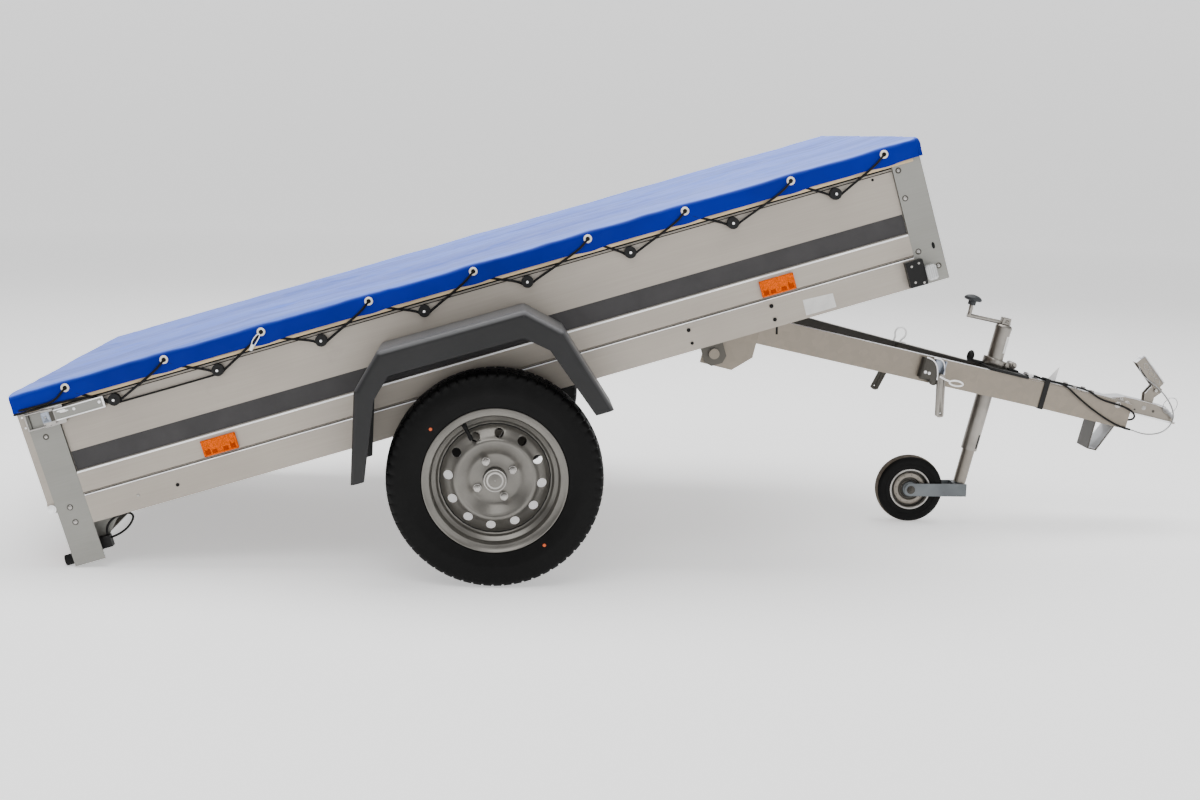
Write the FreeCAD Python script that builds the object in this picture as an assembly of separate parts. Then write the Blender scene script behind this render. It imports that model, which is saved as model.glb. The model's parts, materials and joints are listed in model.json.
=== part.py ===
"""A single-axle tipping utility trailer with a flat cover, its bed tipped up.

The bed lies level, with the middle of the wheel axle at the origin, while its
pieces are made. The drawbar is made in its own frame: along it from a point
near the bed's front, and up from its top face. Both are then turned into the
pose in which the trailer stands, on its wheels, rear feet and jockey wheel.
"""

import FreeCAD, Part
import math
import os

# How it stands: turns in degrees
bed_tilt_angle = 17.0
drawbar_slope_angle = 13.0

# Clearances and cutting overrun
seat_gap = 0.3
running_gap = 0.5
swing_gap = 6.0
overrun = 5.0

# Bed
bed_rear_reach = 1102.0
bed_front_reach = 1259.0
bed_width = 1300.0
bed_bottom = 151.0
side_height = 366.0
sheet = 2.5
frame_band_height = 74.0
groove_height = 5.0
groove_depth = 4.0
middle_band_height = 56.0
step_depth = 8.0
step_height = 5.0
rim_height = 30.0
rim_shelf = 34.0
rim_return = 14.0
bottom_flange = 22.0

# Floor
floor_thick = 9.0
floor_level = 228.0
floor_side_gap = 6.0
crossmember_depth = 50.0
crossmember_width = 45.0
crossmember_sheet = 3.0
rear_crossmember_inset = 262.0
middle_crossmember_place = -120.0
front_crossmember_place = 440.0

# Corner posts
post_sheet = 3.0
front_post_side = 76.0
front_post_face = 60.0
rear_post_side = 79.0
rear_post_face = 52.0
leg_ground_clearance = 3.0
gusset_foot_reach = 54.0
gusset_top_reach = 137.0

# Tailgate
gate_thick = 18.0
gate_sheet = 2.0
gate_hinge_back = 11.0
gate_hinge_height = 212.0
gate_eye_radius = 11.0
gate_lug_radius = 9.0
gate_lug_thick = 4.0
gate_pin_radius = 4.0
gate_pin_length = 12.0
gate_rib_thick = 4.0
gate_rib_count = 3
gate_bottom = 226.0
gate_top_gap = 5.2

# Rubber feet
foot_radius = 14.0
foot_length = 24.0
foot_inset = 22.0

# Light board between the rear legs
light_board_height = 82.0
light_board_sheet = 2.0
light_board_flange = 16.0
light_board_drop = 6.0
lamp_width = 180.0
lamp_height = 72.0
lamp_thick = 34.0

# Side reflectors
reflector_length = 90.0
reflector_height = 42.0
reflector_thick = 7.0
reflector_height_mid = 255.0
reflector_rear_inset = 447.0
reflector_front_inset = 434.0

# Front marker lamps
marker_inset = 107.0
marker_base_length = 46.0
marker_base_height = 66.0
marker_base_thick = 22.0
marker_lens_length = 28.0
marker_lens_height = 40.0
marker_lens_thick = 34.0
marker_bottom = 154.0

# Cover
cover_sheet = 3.0
cover_side_gap = 5.0
cover_skirt = 47.0
knob_radius = 15.5
knob_corners = 16
knob_reach = 16.0
knob_flange = 4.0
knob_stem_radius = 7.0
knob_drop = 78.0
knob_first_inset = 229.0
knob_last_inset = 232.0
knob_count = 8

# Gate latches
latch_rear_inset = 41.0
latch_length = 164.0
latch_height = 29.0
latch_thick = 14.0
latch_drop = 75.0
latch_sheet = 2.5
latch_base_length = 58.0
latch_base_height = 50.0
latch_base_thick = 3.0
latch_block_length = 34.0
latch_block_height = 39.0
latch_cap_length = 8.0
latch_corner_radius = 5.0
bail_wire_radius = 2.5
bail_height = 41.0

# Axle
wheel_track = 1510.0
torsion_tube_side = 58.0
torsion_tube_wall = 5.0
torsion_forward = 122.0
torsion_height = 118.0
arm_thick = 26.0
arm_side_place = 574.0
arm_hub_radius = 34.0
arm_tip_radius = 26.0
stub_radius = 15.0
axle_bracket_length = 120.0
axle_bracket_thick = 6.0

# Wheels
tyre_radius = 273.5
tyre_width = 155.0
tyre_tread_width = 122.0
tyre_widest_radius = 222.0
tyre_flats = 84
rim_bead_radius = 165.0
rim_flange_radius = 182.0
rim_bead_width = 112.0
rim_wall = 4.0
rim_well_radius = 146.0
rim_well_width = 40.0
disc_outset = 34.0
vent_count = 12
vent_corners = 12
vent_radius = 11.7
vent_circle = 117.0
vent_first_turn = 8.7
disc_centre_radius = 29.0
stud_circle = 50.0
stud_hole_radius = 7.0
stud_corners = 8
stud_count = 4
stud_first_turn = 11.0
hub_flange_radius = 66.0
hub_flange_thick = 9.0
hub_body_radius = 37.0
hub_bore_radius = 15.6
cap_radius = 28.4
cap_length = 30.0
cap_wall = 3.0

# Mudguards
guard_width = 190.0
guard_sheet = 3.0
guard_edge_radius = 16.0
guard_inner_flange = 40.0
guard_inner_rise = 28.0
guard_outline = ((-344.0, 91.0), (-269.0, 312.0), (-185.0, 392.0),
                 (188.0, 390.0), (267.0, 314.0), (332.0, 91.0))
guard_opening = ((-311.0, 89.0), (-227.0, 279.0), (-176.0, 327.0),
                 (167.0, 325.0), (221.0, 278.0), (288.0, 89.0))

# Tip hinge
tip_hinge_forward = 628.0
tip_hinge_height = 118.0
tip_pin_radius = 8.0
tip_head_radius = 13.5
tip_head_thick = 9.0
ear_side_place = 561.0
ear_thick = 6.0
ear_front_reach = 103.0
ear_chamfer = 45.0
ear_bottom_drop = 32.0
ear_rear_reach = 28.0
bracket_thick = 5.0
bracket_rear_place = 558.0
bracket_front_place = 813.0
bracket_ear_width = 60.0
bracket_ear_drop = 30.0
bracket_top_drop = 12.0

# Drawbar, along it from its own origin and down from its top face
drawbar_zero = 1049.0
beam_height = 76.0
beam_flange = 38.0
beam_sheet = 4.0
beam_rear_half = 300.0
beam_bend_along = 655.0
beam_bend_half = 63.0
beam_front_along = 918.0
beam_front_half = 50.0
cross_channel_depth = 70.0
tie_plate_sheet = 4.0
tie_plate_rear = 580.0
tie_plate_front = 752.0

# Coupling
coupling_rear_along = 755.0
coupling_cheek_along = 853.0
coupling_nose_along = 1030.0
coupling_bend_ahead = 2.0
coupling_tip_reach = 36.0
coupling_tip_drop = 6.0
coupling_crown = 12.0
coupling_crown_run = 42.0
coupling_corner_radius = 24.0
coupling_lip = 7.0
coupling_sheet = 4.0
coupling_width = 76.0
coupling_cheek_depth = 27.0
socket_radius = 25.2
socket_depth = 26.0
socket_drop = 27.0
handle_width = 34.0
handle_thick = 9.0
handle_neck_width = 18.0
handle_pin_radius = 5.0
handle_boss_radius = 11.0
handle_pin_along = 990.0
handle_pin_rise = 54.0
handle_knee_forward = 8.0
handle_knee_rise = 17.0
handle_grip_length = 104.0
handle_grip_depth = 33.0
handle_grip_turn = 38.5
handle_grip_sheet = 3.0
handle_edge_radius = 8.0
handle_ear_thick = 4.0
handle_ear_reach = 17.0

# Tip locks
lock_along = 263.0
lock_base_length = 62.0
lock_base_height = 66.0
lock_base_reach = 26.0
lock_top_drop = 5.0
lock_corner = 14.0
lock_sheet = 4.0
lock_lever_length = 122.0
lock_lever_width = 22.0
lock_lever_thick = 10.0
lock_lever_gap = 2.0
lock_pin_radius = 6.0
lock_pin_drop = 44.0

# Jockey wheel
jockey_along = 490.0
jockey_tube_radius = 24.0
jockey_tube_wall = 5.0
jockey_tube_top = 121.0
jockey_tube_bottom = 253.0
inner_tube_wall = 3.0
inner_tube_overlap = 190.0
jockey_wheel_radius = 100.0
jockey_wheel_width = 50.0
jockey_hub_radius = 60.0
jockey_trail = 150.0
jockey_flats = 48
fork_height = 38.0
fork_sheet = 4.0
fork_half_width = 34.0
fork_stem_radius = 13.0
jockey_travel = 75.0
clamp_rear_along = 452.0
clamp_front_along = 572.0
clamp_height = 26.0
clamp_block_drop = 40.0
clamp_base_thick = 8.0
clamp_collar_wall = 9.0
clamp_boss_half = 14.0
clamp_boss_reach = 26.0
clamp_bolt_radius = 5.0
clamp_handle_back = 75.0
clamp_handle_width = 12.0
clamp_handle_thick = 9.0
clamp_knob_radius = 13.0
clamp_knob_height = 24.0
crank_head_radius = 12.0
crank_head_height = 29.0
crank_wire_radius = 6.0
crank_reach = 112.0
crank_rise = 12.0
crank_drop = 12.0
crank_knob_radius = 26.0
crank_knob_height = 34.0

# Support foot under the nose
support_inset = 66.0
support_drop = 84.0
support_length = 58.0
support_sheet = 4.0
support_half_width = 46.0

# Plug holder on the tie plate
fin_along = 674.0
fin_height = 50.0
fin_length = 28.0
fin_sheet = 2.5

# Cords: half their thickness, and routes along, across and above
cord_arc_share = 0.45
cable_radius = 3.0
wire_radius = 2.0
lead_radius = 3.0
drawbar_cable_route = (
    (573.6, -49.0, 5.8), (587.5, -49.5, 10.8), (605.0, -49.0, 13.0), (623.0, -47.5, 9.6), (642.0, -45.0, 8.0),
    (664.0, -37.0, 8.2), (688.0, -26.0, 8.9), (712.0, -23.0, 8.6), (736.0, -33.0, 8.9), (758.0, -51.0, 10.5),
    (780.0, -65.5, 7.0), (803.0, -63.0, -3.5), (830.0, -60.0, -8.5), (858.0, -58.5, -9.5), (884.0, -58.0, -11.0),
    (907.0, -57.5, -15.0), (926.0, -56.5, -22.5), (935.0, -52.5, -35.0), (929.0, -45.5, -45.5), (913.0, -40.0, -49.5),
    (897.0, -38.5, -50.0))
safety_cable_route = (
    (573.6, -61.0, 5.8), (587.5, -61.5, 10.6), (605.0, -61.0, 12.0), (623.0, -59.0, 9.2), (642.0, -56.0, 8.0),
    (664.0, -56.0, 8.6), (686.0, -62.0, 9.5), (706.0, -69.0, 4.5), (725.0, -69.5, -6.5), (747.0, -68.0, -18.0),
    (771.0, -66.5, -29.5), (798.0, -65.0, -41.5), (827.0, -63.0, -52.5), (855.0, -61.5, -62.0), (881.0, -59.5, -69.0),
    (903.0, -57.5, -73.0), (920.0, -55.5, -73.5))
safety_wire_route = (
    (920.3, -55.5, -73.5), (936.0, -53.5, -74.0), (956.0, -51.0, -76.5), (981.0, -49.0, -77.0), (1007.0, -48.5, -71.0),
    (1031.0, -48.5, -58.5), (1047.0, -48.5, -38.0), (1053.0, -48.0, -14.0), (1048.0, -44.0, 8.0), (1037.0, -38.0, 26.0),
    (1022.0, -30.5, 43.0), (1003.0, -23.5, 58.0), (985.0, -21.0, 68.5), (967.0, -20.5, 76.5), (950.0, -18.0, 83.5),
    (936.5, -12.5, 92.0), (925.0, -9.5, 105.0), (914.9, -8.5, 126.8))
lamp_lead_route = (
    (-1001.4, -614.0, 96.0), (-985.0, -614.5, 97.5), (-967.0, -615.5, 102.5), (-950.0, -616.5, 111.0), (-936.0, -617.5, 123.0),
    (-928.5, -618.0, 135.5), (-936.5, -617.0, 145.5), (-952.0, -616.5, 146.8), (-968.0, -616.0, 145.5), (-983.0, -615.5, 141.5),
    (-996.0, -615.0, 133.5), (-1004.5, -614.5, 122.5), (-1008.5, -614.0, 112.0), (-1009.0, -614.0, 104.5))

# Cable strap round the near beam, the clip in its end, and the lamps' connectors
strap_along = 642.0
strap_width = 15.0
strap_sheet = 2.0
clip_length = 12.0
clip_height = 20.0
connector_length = 34.0
connector_height = 30.0
connector_thick = 26.0
connector_front = 1002.0
connector_top = 104.0


def point(x, y, z):
    """A point or direction."""
    return FreeCAD.Vector(x, y, z)


def block(x0, x1, y0, y1, z0, z1):
    """A box between two corners."""
    return Part.makeBox(x1 - x0, y1 - y0, z1 - z0, point(x0, y0, z0))


def rod(radius, start, end):
    """A round bar from one point to another."""
    run = end - start
    return Part.makeCylinder(radius, run.Length, start, run)


def tube(radius, wall, start, end):
    """A round tube, open at both ends."""
    run = end - start
    outside = Part.makeCylinder(radius, run.Length, start, run)
    inside = Part.makeCylinder(radius - wall, run.Length, start, run)
    return outside.cut(inside)


def prism(points, run):
    """A flat outline pushed along a run."""
    return Part.Face(Part.makePolygon(points + [points[0]])).extrude(run)


def side_prism(outline, y0, y1):
    """An outline in the side view, pushed across from one y to another."""
    points = [point(x, y0, z) for x, z in outline]
    return prism(points, point(0, y1 - y0, 0))


def end_prism(outline, x0, x1):
    """An outline seen from the rear, pushed forward from one x to another."""
    points = [point(x0, y, z) for y, z in outline]
    return prism(points, point(x1 - x0, 0, 0))


def bent_wire(radius, points):
    """A round wire along straight runs, each run out to its neighbour's far side."""
    shapes = []
    for start, end in zip(points, points[1:]):
        reach = (end - start).normalize() * radius
        near = start if start is points[0] else start - reach
        far = end if end is points[-1] else end + reach
        shapes.append(rod(radius, near, far))
    return fused(shapes)


def corner_ring(radius, corners):
    """The corners of an even polygon around the origin."""
    turns = [2 * math.pi * (index + 0.5) / corners for index in range(corners)]
    return [(radius * math.cos(turn), radius * math.sin(turn)) for turn in turns]


def faceted_rod(radius, corners, middle, y0, y1):
    """A bar across the trailer with an even polygon for its section."""
    outline = [(middle[0] + x, middle[1] + z) for x, z in corner_ring(radius, corners)]
    return side_prism(outline, y0, y1)


def mirrored(shape):
    """The same piece on the other side."""
    return shape.mirror(point(0, 0, 0), point(0, 1, 0))


def both_sides(shape):
    """A piece and its mirror image, as separate solids."""
    return Part.makeCompound([shape, mirrored(shape)])


def fused(shapes):
    """One solid from overlapping ones."""
    whole = shapes[0].multiFuse(shapes[1:])
    return whole.removeSplitter()


half_width = bed_width / 2
bed_top = bed_bottom + side_height
inner_tube_radius = jockey_tube_radius - jockey_tube_wall - running_gap
bead_half = rim_bead_width / 2


def side_section(side):
    """The folded sheet of a side, as points of y and z, closed."""
    outer = half_width
    z1 = bed_bottom + frame_band_height
    z2 = z1 + groove_height
    z3 = z2 + middle_band_height
    z4 = z3 + step_height
    z5 = bed_top - rim_height
    deep = outer - step_depth
    outside = [(outer, bed_bottom), (outer, z1 - sheet), (outer - groove_depth, z1),
               (outer - groove_depth, z2), (outer, z2 + sheet), (outer, z3),
               (deep, z4), (deep, z5 - step_height), (outer, z5), (outer, bed_top)]
    inside = [(y - sheet, z) for y, z in outside]
    inside[0] = (outer - sheet, bed_bottom + sheet)
    inside[-1] = (outer - sheet, bed_top - sheet)
    top = [(outer - rim_shelf, bed_top), (outer - rim_shelf, bed_top - rim_return),
           (outer - rim_shelf + sheet, bed_top - rim_return),
           (outer - rim_shelf + sheet, bed_top - sheet)]
    foot = [(outer - bottom_flange, bed_bottom + sheet), (outer - bottom_flange, bed_bottom)]
    section = outside + top + inside[::-1] + foot
    return [(side * y, z) for y, z in section]


def side_panel(side):
    """One side wall, folded from sheet, between its corner posts."""
    rear = -bed_rear_reach + rear_post_side + seat_gap
    front = bed_front_reach - front_post_side - seat_gap
    return end_prism(side_section(side), rear, front)


def front_panel():
    """The front wall between the front posts, folded like the sides."""
    y1 = half_width - front_post_face - seat_gap
    z0 = floor_level
    z3 = bed_bottom + frame_band_height + groove_height + middle_band_height
    z5 = bed_top - rim_height
    outer = bed_front_reach
    deep = outer - step_depth
    outside = [(outer, z0), (outer, z3), (deep, z3 + step_height),
               (deep, z5 - step_height), (outer, z5), (outer, bed_top)]
    inside = [(x - sheet, z) for x, z in outside]
    inside[-1] = (outer - sheet, bed_top - sheet)
    top = [(outer - rim_shelf, bed_top), (outer - rim_shelf, bed_top - rim_return),
           (outer - rim_shelf + sheet, bed_top - rim_return),
           (outer - rim_shelf + sheet, bed_top - sheet)]
    return side_prism(outside + top + inside[::-1], -y1, y1)


def floor_board():
    """The plywood floor."""
    half = half_width - floor_side_gap - groove_depth
    front = bed_front_reach - post_sheet - seat_gap
    rear = -bed_rear_reach + post_sheet + seat_gap
    top = floor_level + floor_thick
    board = block(rear, front, -half, half, floor_level, top)
    for x0, x1 in ((rear - overrun, rear + rear_post_face), (front - front_post_face, front + overrun)):
        for y0, y1 in ((-half - overrun, -half + overrun), (half - overrun, half + overrun)):
            board = board.cut(block(x0, x1, y0, y1, floor_level - overrun, top + overrun))
    front_lip = block(bed_front_reach - sheet - seat_gap, front + overrun, -half, half,
                      floor_level - overrun, top + overrun)
    return board.cut(front_lip)


def floor_crossmember(middle):
    """One folded channel under the floor, open at the bottom."""
    half = half_width - sheet - groove_depth - seat_gap
    top = floor_level - seat_gap
    x0 = middle - crossmember_width / 2
    x1 = middle + crossmember_width / 2
    z0 = top - crossmember_depth
    outer = block(x0, x1, -half, half, z0, top)
    hollow = block(x0 + crossmember_sheet, x1 - crossmember_sheet, -half - overrun, half + overrun,
                   z0 - overrun, top - crossmember_sheet)
    return outer.cut(hollow)


def floor_crossmembers():
    """The three channels under the floor."""
    places = (rear_crossmember_inset - bed_rear_reach, middle_crossmember_place, front_crossmember_place)
    return Part.makeCompound([floor_crossmember(middle) for middle in places])


def front_post(side):
    """A folded front corner post, its lower front edge cut back."""
    x1 = bed_front_reach
    x0 = x1 - front_post_side
    y1 = half_width
    y0 = y1 - front_post_face
    outer = block(x0, x1, y0, y1, bed_bottom, bed_top)
    hollow = block(x0 - overrun, x1 - post_sheet, y0 - overrun, y1 - post_sheet,
                   bed_bottom - overrun, bed_top + overrun)
    post = outer.cut(hollow)
    cap = block(x0 + overrun, x1, y0, y1, bed_top - post_sheet, bed_top)
    below_floor = block(x0 - overrun, x1 + overrun, y0 - overrun, y1 - front_post_face / 2,
                        bed_bottom - overrun, floor_level)
    post = fused([post, cap]).cut(below_floor)
    return post if side > 0 else mirrored(post)


def rear_post(side):
    """A folded rear corner post that runs down into a leg, with its gusset."""
    x0 = -bed_rear_reach
    x1 = x0 + rear_post_side
    y1 = half_width
    y0 = y1 - rear_post_face
    z0 = ground_height_at(x0) + leg_ground_clearance
    outer = block(x0, x1, y0, y1, z0, bed_top)
    hollow = block(x0 + post_sheet, x1 + overrun, y0 - overrun, y1 - post_sheet,
                   z0 - overrun, bed_top + overrun)
    post = outer.cut(hollow)
    cap = block(x0, x1, y0, y1, bed_top - post_sheet, bed_top)
    gusset = side_prism([(x0, z0), (x0 + gusset_foot_reach, z0), (x0 + gusset_top_reach, bed_bottom),
                         (x0, bed_bottom)], y0, y0 + post_sheet)
    eye_x = x0 - gate_hinge_back
    eye_z = gate_hinge_height
    ear = block(eye_x, x0 + post_sheet, y1 - post_sheet, y1, eye_z - gate_eye_radius, eye_z + gate_eye_radius)
    eye = rod(gate_eye_radius, point(eye_x, y1 - post_sheet, eye_z), point(eye_x, y1, eye_z))
    pin = rod(gate_pin_radius, point(eye_x, y1 - gate_pin_length, eye_z), point(eye_x, y1, eye_z))
    post = fused([post, cap, gusset, ear, eye, pin])
    return post if side > 0 else mirrored(post)


def ground_height_at(x):
    """Height of the ground, in the level bed's frame, below a point along it."""
    tilt = math.radians(bed_tilt_angle)
    return (-tyre_radius - x * math.sin(tilt)) / math.cos(tilt)


def rubber_feet():
    """The round rubber feet behind the rear legs."""
    x1 = -bed_rear_reach - seat_gap
    x0 = x1 - foot_length
    z = ground_height_at(x0) + foot_radius
    y = half_width - foot_inset
    return both_sides(rod(foot_radius, point(x0, y, z), point(x1, y, z)))


def light_board():
    """The folded board between the rear legs' gussets that carries the lamps."""
    x0 = -bed_rear_reach + post_sheet + seat_gap
    x1 = x0 + light_board_flange
    z1 = bed_bottom - light_board_drop
    z0 = z1 - light_board_height
    y = half_width - rear_post_face - seat_gap
    outer = block(x0, x1, -y, y, z0, z1)
    hollow = block(x0 + light_board_sheet, x1 + overrun, -y - overrun, y + overrun,
                   z0 + light_board_sheet, z1 - light_board_sheet)
    return outer.cut(hollow)


def rear_lamps():
    """The two rear lamp housings, behind the light board."""
    x0 = -bed_rear_reach + post_sheet + seat_gap + light_board_sheet + seat_gap
    z1 = bed_bottom - light_board_drop - light_board_sheet - seat_gap
    y1 = half_width - rear_post_face - seat_gap
    lamp = block(x0, x0 + lamp_thick, y1 - lamp_width, y1, z1 - lamp_height, z1)
    return both_sides(lamp)


def rear_lenses():
    """The two rear lamp lenses, on the rear of the light board."""
    x1 = -bed_rear_reach + post_sheet
    x0 = x1 - light_board_flange
    z1 = bed_bottom - light_board_drop
    y1 = half_width - rear_post_face - seat_gap
    lens = block(x0, x1, y1 - lamp_width, y1, z1 - lamp_height, z1)
    lens = lens.makeChamfer(post_sheet, lens.Edges)
    return both_sides(lens)


def tailgate():
    """The rear wall: a ribbed panel that turns on pins at its lower corners."""
    x1 = -bed_rear_reach - seat_gap
    x0 = x1 - gate_thick
    y1 = half_width - post_sheet - running_gap
    top = bed_top - gate_top_gap
    outer = block(x0, x1, -y1, y1, gate_bottom, top)
    hollow = block(x0 + gate_sheet, x1 + overrun, -y1 + gate_sheet, y1 - gate_sheet,
                   gate_bottom + gate_sheet, top - gate_sheet)
    shapes = [outer.cut(hollow)]
    rib_pitch = (top - gate_bottom) / (gate_rib_count + 1)
    for index in range(gate_rib_count):
        z = gate_bottom + rib_pitch * (index + 1)
        half = rib_pitch / 4
        shapes.append(block(x0 - gate_rib_thick, x0 + gate_sheet, -y1 + rib_pitch, y1 - rib_pitch, z - half, z + half))
    pin_x = -bed_rear_reach - gate_hinge_back
    holes = []
    for side in (-1, 1):
        ends = sorted((side * y1, side * (y1 - gate_lug_thick)))
        z = gate_hinge_height
        eye = rod(gate_lug_radius, point(pin_x, ends[0], z), point(pin_x, ends[1], z))
        web = block(pin_x - gate_lug_radius, pin_x + gate_lug_radius, ends[0], ends[1], z, gate_bottom + gate_sheet)
        shapes.extend([eye, web])
        holes.append(rod(gate_pin_radius + running_gap, point(pin_x, ends[0] - overrun, z),
                         point(pin_x, ends[1] + overrun, z)))
    gate = fused(shapes)
    for hole in holes:
        gate = gate.cut(hole)
    return gate


def marker_lamp(side):
    """A front marker lamp's black base."""
    x0 = bed_front_reach - marker_inset
    y0 = half_width + seat_gap
    z0 = marker_bottom
    base = block(x0, x0 + marker_base_length, y0, y0 + marker_base_thick, z0, z0 + marker_base_height)
    return base if side > 0 else mirrored(base)


def marker_lens(side):
    """The clear lens in front of the marker's base."""
    x0 = bed_front_reach - marker_inset + marker_base_length + seat_gap
    y0 = half_width + seat_gap
    z0 = marker_bottom + (marker_base_height - marker_lens_height) / 4
    lens = block(x0, x0 + marker_lens_length, y0, y0 + marker_lens_thick, z0, z0 + marker_lens_height)
    lens = lens.makeChamfer(marker_lens_length / 5, lens.Edges)
    return lens if side > 0 else mirrored(lens)


def side_reflectors():
    """Two orange reflectors on each side."""
    y0 = half_width + seat_gap
    z0 = reflector_height_mid - reflector_height / 2
    shapes = []
    for place in (reflector_rear_inset - bed_rear_reach, bed_front_reach - reflector_front_inset):
        x0 = place - reflector_length / 2
        plate = block(x0, x0 + reflector_length, y0, y0 + reflector_thick, z0, z0 + reflector_height)
        shapes.extend([plate, mirrored(plate)])
    return Part.makeCompound(shapes)


def cover():
    """The flat cover with its skirts at the sides and front."""
    y1 = half_width + cover_side_gap
    x1 = bed_front_reach + cover_side_gap
    x0 = -bed_rear_reach - gate_thick - seat_gap * 2 - cover_sheet
    z1 = bed_top + seat_gap + cover_sheet
    z0 = z1 - cover_skirt
    outer = block(x0, x1 + cover_sheet, -y1 - cover_sheet, y1 + cover_sheet, z0, z1)
    hollow = block(x0 - overrun, x1, -y1, y1, z0 - overrun, z1 - cover_sheet)
    return outer.cut(hollow)


def cover_flap():
    """The cover's rear flap, which hangs over the tailgate."""
    x1 = -bed_rear_reach - gate_thick - seat_gap * 2
    y1 = half_width - rear_post_face
    z1 = bed_top - gate_top_gap
    return block(x1 - cover_sheet, x1, -y1, y1, z1 - cover_skirt, z1)


def cover_knobs():
    """The round knobs that hold the cover's cord, along both sides."""
    y0 = half_width - step_depth + seat_gap
    y1 = y0 + knob_reach
    z = bed_top - knob_drop
    first = knob_first_inset - bed_rear_reach
    pitch = (bed_front_reach - knob_last_inset - first) / (knob_count - 1)
    shapes = []
    for index in range(knob_count):
        middle = (first + index * pitch, z)
        stem = faceted_rod(knob_stem_radius, knob_corners, middle, y0, y1)
        foot = faceted_rod(knob_radius, knob_corners, middle, y0, y0 + knob_flange)
        head = faceted_rod(knob_radius, knob_corners, middle, y1 - knob_flange, y1)
        knob = fused([stem, foot, head])
        shapes.extend([knob, mirrored(knob)])
    return Part.makeCompound(shapes)


def gate_latch(side):
    """An over-centre latch: base, toggle block, channel lever with its cap, and a wire bail."""
    y0 = half_width + seat_gap
    y1 = y0 + latch_thick
    zm = bed_top - latch_drop
    x0 = latch_rear_inset - bed_rear_reach
    x1 = x0 + latch_length
    half = latch_height / 2
    base_half = latch_base_height / 2
    block_half = latch_block_height / 2
    base = block(x0, x0 + latch_base_length, y0, y0 + latch_base_thick, zm - base_half, zm + base_half)
    base = base.makeFillet(latch_corner_radius, [edge for edge in base.Edges if edge.BoundBox.YLength > latch_base_thick / 2])
    toggle = block(x0 + latch_cap_length, x0 + latch_block_length, y0, y1, zm - block_half, zm + block_half)
    lever = block(x0 + latch_cap_length, x1, y0 + latch_base_thick, y1, zm - half, zm + half)
    hollow = block(x0, x1 + overrun, y0 + latch_base_thick - overrun, y1 - latch_sheet,
                   zm - half + latch_sheet, zm + half - latch_sheet)
    cap = block(x1 - latch_cap_length, x1, y0, y1, zm - half, zm + half)
    tail = [edge for edge in cap.Edges if edge.BoundBox.YLength > latch_thick / 2 and edge.BoundBox.XMin > x1 - seat_gap]
    cap = cap.makeFillet(latch_corner_radius, tail)
    x2 = -bed_rear_reach + bail_wire_radius
    y = y0 + latch_thick / 2
    xb = x0 + latch_block_length / 2
    wire_half = bail_height / 2
    corners = [point(xb, y, zm - wire_half), point(x2, y, zm - wire_half),
               point(x2, y, zm + wire_half), point(xb, y, zm + wire_half)]
    pivot = rod(bail_wire_radius * 2, point(xb, y, zm - wire_half), point(xb, y, zm + wire_half))
    latch = fused([base, toggle, lever.cut(hollow), cap, bent_wire(bail_wire_radius, corners), pivot])
    return latch if side > 0 else mirrored(latch)


def axle_tube():
    """The square torsion tube that crosses under the bed, with its brackets."""
    half = torsion_tube_side / 2
    x = torsion_forward
    z = torsion_height - torsion_tube_side / 4
    y1 = arm_side_place - running_gap
    outer = block(x - half, x + half, -y1, y1, z - half, z + half)
    wall = torsion_tube_wall
    hollow = block(x - half + wall, x + half - wall, -y1 - overrun, y1 + overrun, z - half + wall, z + half - wall)
    return outer.cut(hollow)


def axle_brackets():
    """The plates that hang the torsion tube from the side frames."""
    half = torsion_tube_side / 2
    x = torsion_forward
    z1 = torsion_height - torsion_tube_side / 4 + half + seat_gap
    y1 = half_width - sheet - seat_gap
    y0 = arm_side_place - torsion_tube_side
    x0 = x - axle_bracket_length / 2
    x1 = x + axle_bracket_length / 2
    z2 = bed_bottom + sheet + seat_gap
    z3 = floor_level - crossmember_depth
    pad = block(x0, x1, y0, arm_side_place - running_gap * 4, z1, z1 + axle_bracket_thick)
    foot = block(x0, x1, y0, y1, z2, z2 + axle_bracket_thick)
    link = block(x0, x1, y0, y0 + axle_bracket_thick, z1, z2 + axle_bracket_thick)
    wall = block(x0, x1, y1 - axle_bracket_thick, y1, z2, z3)
    return both_sides(fused([pad, foot, link, wall]))


def swing_arm(side):
    """A trailing arm with the stub axle that carries the wheel."""
    y0 = arm_side_place
    y1 = y0 + arm_thick
    z = torsion_height - torsion_tube_side / 4
    big = rod(arm_hub_radius, point(torsion_forward, y0, z), point(torsion_forward, y1, z))
    small = rod(arm_tip_radius, point(0, y0, 0), point(0, y1, 0))
    run = math.hypot(torsion_forward, z)
    along = (torsion_forward / run, z / run)
    across = (-along[1], along[0])
    wide = arm_hub_radius
    thin = arm_tip_radius
    outline = [(across[0] * thin, across[1] * thin), (-across[0] * thin, -across[1] * thin),
               (torsion_forward - across[0] * wide, z - across[1] * wide),
               (torsion_forward + across[0] * wide, z + across[1] * wide)]
    web = side_prism(outline, y0, y1)
    stub_end = wheel_track / 2 + disc_outset + hub_flange_thick / 2
    stub = rod(stub_radius, point(0, y0, 0), point(0, stub_end, 0))
    arm = fused([big, small, web, stub])
    return arm if side > 0 else mirrored(arm)


def revolved(section):
    """A section of y and radius turned about the wheel axis."""
    points = [point(0, y, r) for y, r in section]
    face = Part.Face(Part.makePolygon(points + [points[0]]))
    return face.revolve(point(0, 0, 0), point(0, 1, 0), 360)


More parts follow.
